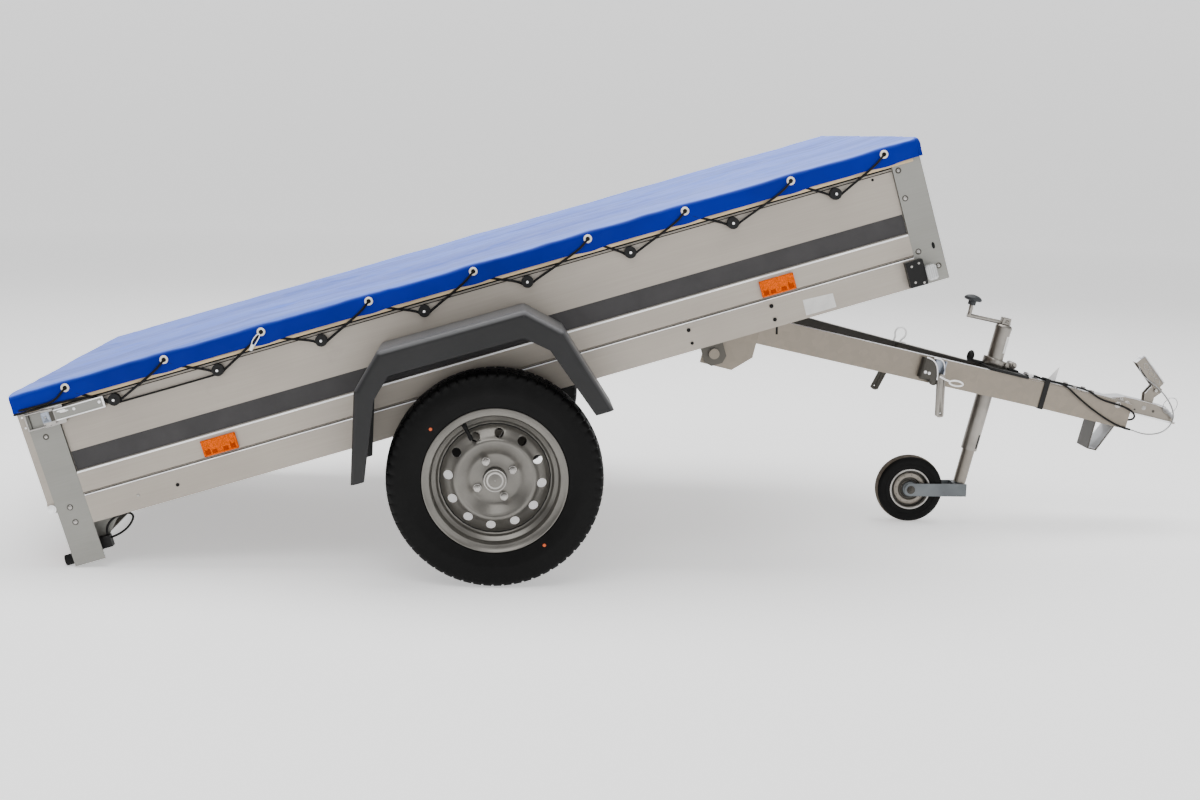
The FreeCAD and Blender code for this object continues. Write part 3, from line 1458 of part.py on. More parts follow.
def bed_pieces():
    """Every piece of the bed, level, by name."""
    pieces = {
        "front_panel": front_panel(),
        "front_posts": both_sides(front_post(1)),
        "rear_posts": both_sides(rear_post(1)),
        "marker_lamp_bases": both_sides(marker_lamp(1)),
        "marker_lamp_lenses": both_sides(marker_lens(1)),
        "gate_latches": both_sides(gate_latch(1)),
        "swing_arms": both_sides(swing_arm(1)),
        "mudguards": both_sides(mudguard(1)),
        "tip_brackets": both_sides(tip_bracket(1)),
        "floor_board": floor_board(),
        "floor_crossmembers": floor_crossmembers(),
        "rubber_feet": rubber_feet(),
        "rear_light_board": light_board(),
        "rear_lamp_housings": rear_lamps(),
        "rear_lamp_lenses": rear_lenses(),
        "side_reflectors": side_reflectors(),
        "cover": cover(),
        "cover_knobs": cover_knobs(),
        "axle_tube": axle_tube(),
        "axle_brackets": axle_brackets(),
        "tailgate": tailgate(),
        "cover_rear_flap": cover_flap(),
        "lamp_connectors": lamp_connectors(),
        "lamp_lead": cord_tube(lamp_lead_route, lead_radius),
    }
    for name, side in (("right", -1), ("left", 1)):
        pieces["side_panel_" + name] = side_panel(side)
        pieces["wheel_tyre_" + name] = tyre(side)
        pieces["wheel_rim_" + name] = placed_wheel(pressed_rim(), side)
        pieces["wheel_hub_" + name] = placed_wheel(hub(), side)
    return pieces


def drawbar_pieces():
    """Every piece of the drawbar, in its own frame, by name."""
    return {
        "drawbar_beam_right": beam(-1),
        "drawbar_beam_left": beam(1),
        "drawbar_cross_channel": cross_channel(),
        "drawbar_tie_plate": tie_plate(),
        "coupling_body": coupling(),
        "coupling_handle": coupling_handle(),
        "tip_locks": both_sides(tip_lock(1)),
        "support_foot": support_foot(),
        "plug_holder": plug_holder(),
        "jockey_clamp": jockey_clamp(),
        "jockey_outer_tube": jockey_outer_tube(),
        "jockey_crank": jockey_crank(),
        "jockey_crank_grip": jockey_knob(),
        "jockey_inner_tube": jockey_leg(),
        "jockey_fork": jockey_fork(),
        "jockey_wheel_tyre": jockey_tyre(),
        "jockey_wheel_hub": jockey_hub(),
        "cable_strap": cable_strap(),
        "drawbar_cable": cord_tube(drawbar_cable_route, cable_radius),
        "safety_cable": cord_tube(safety_cable_route, cable_radius),
        "safety_wire": cord_tube(safety_wire_route, wire_radius),
    }


def shift_to_middle(shapes):
    """The move along the ground that brings the whole trailer's middle to the origin."""
    box = Part.makeCompound(shapes).BoundBox
    return point(-(box.XMin + box.XMax) / 2, 0, 0)


def main():
    """Build the trailer as it stands and write one file for each piece."""
    standing = {name: tip_bed(shape) for name, shape in bed_pieces().items()}
    standing.update({name: slope_drawbar(shape) for name, shape in drawbar_pieces().items()})
    centre = shift_to_middle(list(standing.values()))
    os.makedirs("parts", exist_ok=True)
    for name, shape in standing.items():
        shape.translated(centre).exportStep("parts/" + name + ".step")
    print(len(standing), "pieces, moved along by", round(centre.x, 3))


main()
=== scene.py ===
"""Looks of a single-axle tipping utility trailer with a laced flat cover.

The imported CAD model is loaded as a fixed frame. The classes below dress its
nodes, replace the soft and rubber ones, and add the trim that rides on them.
The bed is laid out level, with the wheel axle's middle as its origin; the
drawbar is laid out along its top face. Both are then turned to where they stand.
"""

from __future__ import annotations

import json
import logging
import math
import random
from contextlib import contextmanager
from dataclasses import dataclass, field
from enum import Enum
from typing import Iterable, Iterator, Sequence

import bpy
from mathutils import Matrix, Vector, noise

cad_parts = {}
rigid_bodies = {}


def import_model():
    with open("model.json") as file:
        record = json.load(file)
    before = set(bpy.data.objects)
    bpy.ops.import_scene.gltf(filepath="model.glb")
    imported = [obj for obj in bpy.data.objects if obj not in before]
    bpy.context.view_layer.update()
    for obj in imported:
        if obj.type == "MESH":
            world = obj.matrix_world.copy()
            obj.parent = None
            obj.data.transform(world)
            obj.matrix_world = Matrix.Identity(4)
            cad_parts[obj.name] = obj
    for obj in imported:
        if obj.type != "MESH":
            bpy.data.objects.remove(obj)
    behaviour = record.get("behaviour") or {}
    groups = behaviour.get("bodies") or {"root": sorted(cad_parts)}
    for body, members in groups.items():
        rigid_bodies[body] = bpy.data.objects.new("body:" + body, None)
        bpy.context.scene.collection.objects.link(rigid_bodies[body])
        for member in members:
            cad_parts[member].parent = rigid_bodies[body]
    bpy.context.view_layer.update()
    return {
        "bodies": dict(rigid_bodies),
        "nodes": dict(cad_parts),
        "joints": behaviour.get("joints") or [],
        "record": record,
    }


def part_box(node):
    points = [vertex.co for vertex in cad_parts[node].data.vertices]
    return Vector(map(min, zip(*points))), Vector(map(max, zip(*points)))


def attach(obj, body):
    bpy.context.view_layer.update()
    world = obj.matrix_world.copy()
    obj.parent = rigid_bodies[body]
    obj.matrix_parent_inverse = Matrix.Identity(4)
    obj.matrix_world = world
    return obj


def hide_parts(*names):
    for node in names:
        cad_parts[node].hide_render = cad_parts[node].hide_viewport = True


log = logging.getLogger("trailer")

Spot = tuple[float, float, float]
Flat = tuple[float, float]
Piece = bpy.types.Object
Socket = bpy.types.NodeSocket

EVEN = (1.0, 1.0, 1.0)
DOMED = (1.0, 0.5, 1.0)

BED_TILT = math.radians(17.0)
BAR_SLOPE = math.radians(13.0)
AXLE_HEIGHT = 0.2735
BAR_ORIGIN = (0.999664, 0.576583)
SIDES = {"right": -1.0, "left": 1.0}


class Lay(Enum):
    """Which of the trailer's own directions a material's pattern follows."""

    WORLD = 0.0
    BED = BED_TILT
    BAR = -BAR_SLOPE


class Grain(Enum):
    """How the surface of a finish is worked."""

    ROLLED = "rolled sheet"
    SPANGLE = "hot dip zinc"
    CAST = "plated pressing"
    WOOD = "faced plywood"
    CLOTH = "coated cloth"
    MOULDED = "moulded plastic"
    PRISM = "reflector prisms"
    GLASS = "lens ribs"
    PAINT = "sprayed paint"
    RUBBER = "rubber"


@dataclass(frozen=True)
class Finish:
    """A surface finish, made once as a node material."""

    name: str
    colour: Spot
    roughness: float
    grain: Grain
    metallic: float = 0.0
    lay: Lay = Lay.BED
    # Colour mixed in on upward faces where set: painted light on the zinc and guard finishes, a painted sky
    # reflection on the cloth.
    second: Spot | None = None
    bump: float = 0.1
    coat: float = 0.0
    glow: float = 0.0
    clear: float = 0.0
    shine: float = 0.5
    coat_index: float = 1.5
    # Colour mixed in on faces turned towards -Y where set: painted shade.
    near: Spot | None = None

    def material(self) -> bpy.types.Material:
        """Give the finish's material, making it the first time."""
        found = bpy.data.materials.get("finish_" + self.name)
        return found if found else self._make()

    def _make(self) -> bpy.types.Material:
        """Build the node tree: colour, wear, roughness and relief."""
        made = bpy.data.materials.new("finish_" + self.name)
        made.use_nodes = True
        tree = made.node_tree
        shader = tree.nodes["Principled BSDF"]
        shader.inputs["Metallic"].default_value = self.metallic
        shader.inputs["Roughness"].default_value = self.roughness
        shader.inputs["Base Color"].default_value = (*self.colour, 1.0)
        shader.inputs["Specular IOR Level"].default_value = self.shine
        if self.coat:
            shader.inputs["Coat Weight"].default_value = self.coat
            shader.inputs["Coat Roughness"].default_value = 0.12
            shader.inputs["Coat IOR"].default_value = self.coat_index
        if self.clear:
            shader.inputs["Transmission Weight"].default_value = self.clear
        if self.glow:
            shader.inputs["Emission Color"].default_value = (*self.colour, 1.0)
            shader.inputs["Emission Strength"].default_value = self.glow
        Weave(tree, shader, self).lay()
        return made


@dataclass
class Weave:
    """Lays the nodes that give a finish its pattern."""

    tree: bpy.types.NodeTree
    shader: bpy.types.Node
    finish: Finish

    def node(self, kind: str, **values: object) -> bpy.types.Node:
        """Add a node and set its properties or input defaults by name."""
        made = self.tree.nodes.new(kind)
        for name, value in values.items():
            if hasattr(made, name):
                setattr(made, name, value)
            else:
                made.inputs[name.replace("_", " ")].default_value = value
        return made

    def link(self, source: Socket, target: Socket) -> None:
        """Join two sockets."""
        self.tree.links.new(source, target)

    def place(self, scale: Spot = EVEN) -> Socket:
        """Give object coordinates turned into the finish's own lay.

        Args:
            scale: How much the pattern is squeezed along each axis.

        Returns:
            The socket that carries the turned place.
        """
        coords = self.node("ShaderNodeTexCoord")
        turn = self.node("ShaderNodeMapping")
        turn.inputs["Rotation"].default_value = (0.0, self.finish.lay.value, 0.0)
        self.link(coords.outputs["Object"], turn.inputs["Vector"])
        squeeze = self.node("ShaderNodeMapping")
        squeeze.inputs["Scale"].default_value = scale
        self.link(turn.outputs["Vector"], squeeze.inputs["Vector"])
        return squeeze.outputs["Vector"]

    def noise(self, scale: float, stretch: Spot = EVEN, detail: float = 4.0,
              roughness: float = 0.55) -> Socket:
        """Add a noise pattern and give its value socket."""
        made = self.node("ShaderNodeTexNoise")
        made.inputs["Scale"].default_value = scale
        made.inputs["Detail"].default_value = detail
        made.inputs["Roughness"].default_value = roughness
        self.link(self.place(stretch), made.inputs["Vector"])
        return made.outputs["Fac"]

    def cells(self, scale: float) -> bpy.types.Node:
        """Add a cell pattern."""
        made = self.node("ShaderNodeTexVoronoi", feature="F1")
        made.inputs["Scale"].default_value = scale
        self.link(self.place(), made.inputs["Vector"])
        return made

    def ramp(self, value: Socket, stops: Sequence[tuple[float, float]]) -> Socket:
        """Turn a value into grey through a ramp of (place, level) stops."""
        made = self.node("ShaderNodeValToRGB")
        band = made.color_ramp
        band.elements[0].position, level = stops[0]
        band.elements[0].color = (level, level, level, 1.0)
        band.elements[1].position, level = stops[-1]
        band.elements[1].color = (level, level, level, 1.0)
        for spot, level in stops[1:-1]:
            band.elements.new(spot).color = (level, level, level, 1.0)
        self.link(value, made.inputs["Fac"])
        return made.outputs["Color"]

    def mix(self, share: Socket, first: object, second: object) -> Socket:
        """Mix two colours, each a tuple or a socket."""
        made = self.node("ShaderNodeMix", data_type="RGBA")
        self.link(share, made.inputs[0])
        for index, colour in ((6, first), (7, second)):
            if isinstance(colour, tuple):
                made.inputs[index].default_value = (*colour, 1.0)
            else:
                self.link(colour, made.inputs[index])
        return made.outputs[2]

    def sum(self, first: Socket, second: Socket, share: float) -> Socket:
        """Add a share of one value to another."""
        made = self.node("ShaderNodeMath", operation="MULTIPLY_ADD")
        self.link(second, made.inputs[0])
        made.inputs[1].default_value = share
        self.link(first, made.inputs[2])
        return made.outputs[0]

    def normal(self) -> bpy.types.Node:
        """Split the way a surface faces into its parts along the world's axes."""
        shape = self.node("ShaderNodeNewGeometry")
        parts = self.node("ShaderNodeSeparateXYZ")
        self.link(shape.outputs["Normal"], parts.inputs["Vector"])
        return parts

    def facing(self, axis: str, sign: float) -> Socket:
        """Give where a surface faces along one of the world's axes, as 0 or 1.

        Args:
            axis: X, Y or Z.
            sign: 1 for forwards along the axis, -1 for backwards.

        Returns:
            The socket of the share.
        """
        parts = self.normal()
        turned = self.node("ShaderNodeMath", operation="MULTIPLY")
        turned.inputs[1].default_value = sign
        self.link(parts.outputs[axis], turned.inputs[0])
        return self.ramp(turned.outputs[0], [(0.25, 0.0), (0.55, 1.0)])

    def facing_up(self, clouds: Socket) -> Socket:
        """Give where the painted sky reflection lies on the cloth: where it faces up, from 0 on its sides to
        1 on its flat top, cloudy in between.
        """
        parts = self.normal()
        streaks = self.noise(3.0, (0.5, 7.0, 1.0))
        level = self.sum(self.sum(parts.outputs["Z"], clouds, 0.16), streaks, 0.14)
        share = self.ramp(level, [(0.34, 0.0), (0.72, 0.1), (0.9, 0.36), (0.99, 0.74), (1.0, 0.88)])
        veil = self.ramp(self.sum(streaks, self.noise(1.3, (0.7, 2.0, 1.0), 2.0), 0.8),
                         [(0.72, 0.66), (1.02, 1.0)])
        both = self.node("ShaderNodeMath", operation="MULTIPLY")
        self.link(share, both.inputs[0])
        self.link(veil, both.inputs[1])
        return both.outputs[0]

    def colour(self, socket: Socket) -> None:
        """Send a colour to the shader."""
        self.link(socket, self.shader.inputs["Base Color"])

    def rough(self, value: Socket, below: float, above: float) -> None:
        """Send a roughness that runs from below to above the finish's own to the shader."""
        spread = self.node("ShaderNodeMapRange")
        spread.inputs["To Min"].default_value = self.finish.roughness - below
        spread.inputs["To Max"].default_value = self.finish.roughness + above
        self.link(value, spread.inputs["Value"])
        self.link(spread.outputs["Result"], self.shader.inputs["Roughness"])

    def relief(self, value: Socket, distance: float) -> None:
        """Send a height to the shader as bump."""
        made = self.node("ShaderNodeBump")
        made.inputs["Strength"].default_value = self.finish.bump
        made.inputs["Distance"].default_value = distance
        self.link(value, made.inputs["Height"])
        self.link(made.outputs["Normal"], self.shader.inputs["Normal"])

    def tones(self, low: float, high: float) -> tuple[Spot, Spot]:
        """Give a darker and a lighter tone of the finish's colour."""
        dark = tuple(c * low for c in self.finish.colour)
        light = tuple(min(1.0, c * high) for c in self.finish.colour)
        return dark, light  # type: ignore[return-value]

    def lay(self) -> None:
        """Lay the pattern that the finish names."""
        getattr(self, "_" + self.finish.grain.name.lower())()

    def _rolled(self) -> None:
        """Cold rolled zinc sheet: long faint streaks, soft clouds and a few darker smudges."""
        streaks = self.noise(5.0, (1.0, 30.0, 60.0), 5.0)
        clouds = self.noise(2.2, (1.0, 1.0, 1.6), 3.0)
        both = self.sum(clouds, streaks, 0.35)
        body = self.mix(self.ramp(both, [(0.45, 0.0), (0.9, 1.0)]), *self.tones(0.86, 1.1))
        smudge = self.ramp(self.noise(9.0, EVEN, 6.0, 0.65), [(0.62, 0.0), (0.78, 0.35)])
        self.colour(self.mix(smudge, body, self.tones(0.72, 1.0)[0]))
        self.rough(both, 0.06, 0.12)
        self.relief(streaks, 0.0004)

    def _spangle(self) -> None:
        """Hot dip zinc: faint flakes, clouds and white bloom; where named, painted light on upward faces and
        painted shade on faces towards -Y.
        """
        flakes = self.cells(55.0)
        tone = self.node("ShaderNodeSeparateColor")
        self.link(flakes.outputs["Color"], tone.inputs["Color"])
        clouds = self.noise(4.0, EVEN, 5.0)
        both = self.sum(clouds, tone.outputs["Red"], 0.22)
        body = self.mix(self.ramp(both, [(0.4, 0.0), (0.85, 1.0)]), *self.tones(0.9, 1.07))
        # Painted shade: the near colour darkens faces turned towards -Y.
        if self.finish.near:
            body = self.mix(self.facing("Y", -1.0), body, self.finish.near)
        # Painted light: the second colour lightens upward faces.
        if self.finish.second:
            body = self.mix(self.facing("Z", 1.0), body, self.finish.second)
        bloom = self.ramp(self.noise(26.0, EVEN, 6.0, 0.7), [(0.62, 0.0), (0.8, 0.1)])
        self.colour(self.mix(bloom, body, (0.5, 0.49, 0.46)))
        self.rough(both, 0.04, 0.08)
        self.relief(tone.outputs["Red"], 0.0002)

    def _cast(self) -> None:
        """Bright plating over a pressing: slight tone changes and dull patches."""
        clouds = self.noise(11.0, EVEN, 5.0)
        self.colour(self.mix(self.ramp(clouds, [(0.3, 0.0), (0.7, 1.0)]), *self.tones(0.74, 1.12)))
        self.rough(self.noise(18.0), 0.1, 0.15)
        self.relief(self.noise(90.0), 0.0003)

    def _wood(self) -> None:
        """Film-faced plywood: long grain under a dark film."""
        grain = self.noise(7.0, (1.0, 14.0, 14.0), 6.0, 0.6)
        self.colour(self.mix(grain, *self.tones(0.62, 1.2)))
        self.rough(grain, 0.08, 0.1)
        self.relief(grain, 0.0005)

    def _cloth(self) -> None:
        """Coated cloth: a fine cross weave under a glossy coat, creased here and there, with a painted pale
        sky reflection on its upward faces where named.
        """
        along = self.node("ShaderNodeTexWave", wave_type="BANDS", bands_direction="X")
        across = self.node("ShaderNodeTexWave", wave_type="BANDS", bands_direction="Y")
        for thread in (along, across):
            thread.inputs["Scale"].default_value = 260.0
            thread.inputs["Distortion"].default_value = 0.6
            self.link(self.place(), thread.inputs["Vector"])
        weave = self.sum(along.outputs["Fac"], across.outputs["Fac"], 1.0)
        creases = self.noise(14.0, EVEN, 6.0, 0.6)
        clouds = self.noise(3.0, EVEN, 3.0)
        body = self.mix(self.ramp(clouds, [(0.3, 0.0), (0.7, 1.0)]), *self.tones(0.82, 1.15))
        # Painted sky reflection: the pale second colour on the upward faces.
        if self.finish.second:
            body = self.mix(self.facing_up(clouds), body, self.finish.second)
        self.colour(body)
        self.rough(creases, 0.08, 0.1)
        self.relief(self.sum(creases, weave, 0.035), 0.004)

    def _moulded(self) -> None:
        """Moulded plastic: a fine leather grain, slightly greyed where it catches dust, and painted light on
        upward faces where named.
        """
        pebbles = self.cells(620.0)
        dust = self.noise(6.0, EVEN, 5.0)
        body = self.mix(self.ramp(dust, [(0.4, 0.0), (0.75, 1.0)]), *self.tones(0.85, 1.3))
        # Painted light: the second colour lightens upward faces.
        if self.finish.second:
            body = self.mix(self.facing("Z", 1.0), body, self.finish.second)
        self.colour(body)
        self.rough(dust, 0.06, 0.1)
        self.relief(pebbles.outputs["Distance"], 0.0005)

    def _prism(self) -> None:
        """A reflector: rows of small cube corners under a clear face."""
        prisms = self.cells(300.0)
        self.colour(self.mix(self.ramp(prisms.outputs["Distance"], [(0.1, 1.0), (0.6, 0.0)]),
                             *self.tones(0.72, 1.25)))
        self.relief(prisms.outputs["Distance"], 0.002)

    def _glass(self) -> None:
        """A clear or red lens with fine upright ribs inside."""
        ribs = self.node("ShaderNodeTexWave", wave_type="BANDS", bands_direction="X")
        ribs.inputs["Scale"].default_value = 60.0
        self.link(self.place(), ribs.inputs["Vector"])
        self.colour(self.mix(ribs.outputs["Fac"], *self.tones(0.8, 1.1)))
        self.relief(ribs.outputs["Fac"], 0.0012)

    def _paint(self) -> None:
        """Sprayed paint: fine flake under a cloudy road film."""
        flake = self.noise(420.0, EVEN, 2.0)
        film = self.noise(13.0, EVEN, 5.0)
        both = self.sum(film, flake, 0.25)
        self.colour(self.mix(self.ramp(both, [(0.45, 0.0), (0.85, 1.0)]), *self.tones(0.82, 1.12)))
        self.rough(film, 0.08, 0.12)
        self.relief(flake, 0.0002)

    def _rubber(self) -> None:
        """Rubber: a dull skin with a little dust."""
        dust = self.noise(24.0, EVEN, 6.0, 0.65)
        self.colour(self.mix(self.ramp(dust, [(0.45, 0.0), (0.8, 1.0)]), *self.tones(0.8, 1.7)))
        self.rough(dust, 0.1, 0.1)
        self.relief(self.noise(160.0), 0.0006)


ZINC = Finish("zinc_sheet", (0.41, 0.372, 0.325), 0.46, Grain.ROLLED, 0.8, bump=0.18)
POST_ZINC = Finish("zinc_posts", (0.3, 0.297, 0.274), 0.52, Grain.ROLLED, 0.7, bump=0.15)
# The near-white second colour on upward faces is painted light.
GALVANISED = Finish("galvanised_steel", (0.262, 0.229, 0.187), 0.44, Grain.SPANGLE, 0.8, Lay.BAR, bump=0.2,
                    second=(0.82, 0.83, 0.86))
# A darker copy of the zinc for the parts under the bed: painted shade.
SHADED_UNDER_ZINC = Finish("shaded_under_zinc", (0.105, 0.098, 0.086), 0.5, Grain.SPANGLE, 0.75, bump=0.2)
PLATED = Finish("bright_zinc", (0.42, 0.405, 0.385), 0.26, Grain.CAST, 0.95, Lay.BAR, bump=0.12)
PLYWOOD = Finish("birch_plywood", (0.09, 0.05, 0.028), 0.5, Grain.WOOD, bump=0.2)
# The pale blue second colour on upward faces is a painted sky reflection.
CLOTH = Finish("cover_cloth", (0.0, 0.01, 0.24), 0.4, Grain.CLOTH, bump=0.35, coat=0.18, shine=0.05,
               coat_index=1.3, second=(0.17, 0.3, 0.98))
PLASTIC = Finish("black_plastic", (0.006, 0.006, 0.006), 0.46, Grain.MOULDED, bump=0.25, shine=0.25)
# The lighter second colour on upward faces is painted light.
GUARD = Finish("guard_plastic", (0.012, 0.012, 0.0125), 0.42, Grain.MOULDED, bump=0.3, shine=0.32,
               second=(0.085, 0.085, 0.088))
CLEAR = Finish("clear_lens", (0.72, 0.73, 0.73), 0.12, Grain.GLASS, bump=0.3, coat=0.6, clear=0.35)
RED = Finish("red_lens", (0.3, 0.004, 0.004), 0.15, Grain.GLASS, bump=0.3, coat=0.8)
# The faint glow is painted light: the reflectors glow though no lamp is in them.
ORANGE = Finish("orange_reflector", (0.78, 0.115, 0.0), 0.3, Grain.PRISM, bump=0.5, glow=0.08, shine=0.0)
SILVER = Finish("silver_paint", (0.165, 0.157, 0.142), 0.3, Grain.PAINT, 0.8, Lay.WORLD, bump=0.1, coat=0.1)
TYRE = Finish("tyre_rubber", (0.0022, 0.0022, 0.0022), 0.5, Grain.RUBBER, lay=Lay.WORLD, bump=0.25,
              shine=0.12)
RUBBER = Finish("black_rubber", (0.004, 0.004, 0.004), 0.6, Grain.RUBBER, bump=0.25, shine=0.2)
ELASTIC = Finish("cover_elastic", (0.003, 0.003, 0.0032), 0.55, Grain.RUBBER, bump=0.4, shine=0.2)
BRASS = Finish("eyelet_metal", (0.9, 0.84, 0.72), 0.3, Grain.CAST, 0.3, bump=0.05)
BLANK = Finish("blank_label", (0.66, 0.65, 0.63), 0.4, Grain.PAINT, bump=0.05)
WHITE = Finish("white_label", (0.86, 0.85, 0.84), 0.4, Grain.PAINT, lay=Lay.BAR, bump=0.05)
STEEL = Finish("steel_wire", (0.36, 0.36, 0.36), 0.3, Grain.CAST, 0.95, Lay.BAR, bump=0.1)
DOT = Finish("orange_dot", (0.6, 0.09, 0.01), 0.5, Grain.PAINT, lay=Lay.WORLD, bump=0.05)
CABLE = Finish("black_cable", (0.0025, 0.0025, 0.0025), 0.42, Grain.RUBBER, lay=Lay.BAR, bump=0.1, shine=0.2)
STRIPE = Finish("stripe_film", (0.043, 0.041, 0.042), 0.45, Grain.PAINT, bump=0.05, shine=0.25)
BEAD = Finish("cream_bead", (0.62, 0.47, 0.28), 0.45, Grain.MOULDED, bump=0.05, shine=0.3)
# A glowing near-white for bright edges, lips, rivets, screws and wire: painted highlights.
PAINTED_HIGHLIGHT = Finish("painted_highlight", (0.92, 0.92, 0.93), 0.32, Grain.CAST, 0.2, bump=0.05, glow=0.22)
CELL = Finish("orange_cell", (0.42, 0.045, 0.0), 0.4, Grain.PRISM, bump=0.4, shine=0.0)
LEG = Finish("leg_zinc", (0.245, 0.222, 0.192), 0.34, Grain.SPANGLE, 0.9, Lay.BAR, bump=0.08)
TUBE = Finish("tube_zinc", (0.3, 0.28, 0.254), 0.3, Grain.CAST, 0.95, Lay.BAR, bump=0.1)
FORK = Finish("fork_zinc", (0.15, 0.163, 0.172), 0.42, Grain.CAST, 0.75, Lay.BAR, bump=0.1)
# The galvanised steel with painted shade on faces towards -Y and painted light on upward faces.
SHADED_FAR_BEAM = Finish("shaded_far_beam", (0.262, 0.229, 0.187), 0.44, Grain.SPANGLE, 0.8, Lay.BAR, bump=0.2,
                  second=(0.4, 0.39, 0.36), near=(0.055, 0.052, 0.048))
# A darker copy of the galvanised steel, painted shade, with painted light on upward faces.
SHADED_FOOT = Finish("shaded_foot_zinc", (0.062, 0.057, 0.05), 0.42, Grain.SPANGLE, 0.6, Lay.BAR, bump=0.1,
              second=(0.86, 0.87, 0.9))
# The near-white second colour on upward faces is painted light.
COUPLING = Finish("coupling_zinc", (0.262, 0.236, 0.202), 0.36, Grain.SPANGLE, 0.85, Lay.BAR, bump=0.08,
                  second=(0.86, 0.87, 0.9))
SHADE = Finish("shaded_zinc", (0.07, 0.065, 0.056), 0.5, Grain.SPANGLE, 0.6, Lay.BAR, bump=0.1)
BLUISH = Finish("bluish_zinc", (0.33, 0.365, 0.43), 0.3, Grain.CAST, 0.9, Lay.BAR, bump=0.1)
# A paler brown-grey for the jockey wheel's tread.
PALE_TREAD = Finish("pale_tread", (0.11, 0.092, 0.072), 0.7, Grain.RUBBER, lay=Lay.BAR, bump=0.2, shine=0.15)
CAP_GREY = Finish("knob_grey", (0.03, 0.033, 0.036), 0.42, Grain.MOULDED, lay=Lay.BAR, bump=0.15, shine=0.3)


def waver(x: float, y: float, z: float = 0.0) -> float:
    """Give the smooth noise at a place, between about -1 and 1."""
    return noise.noise(Vector((x, y, z)))


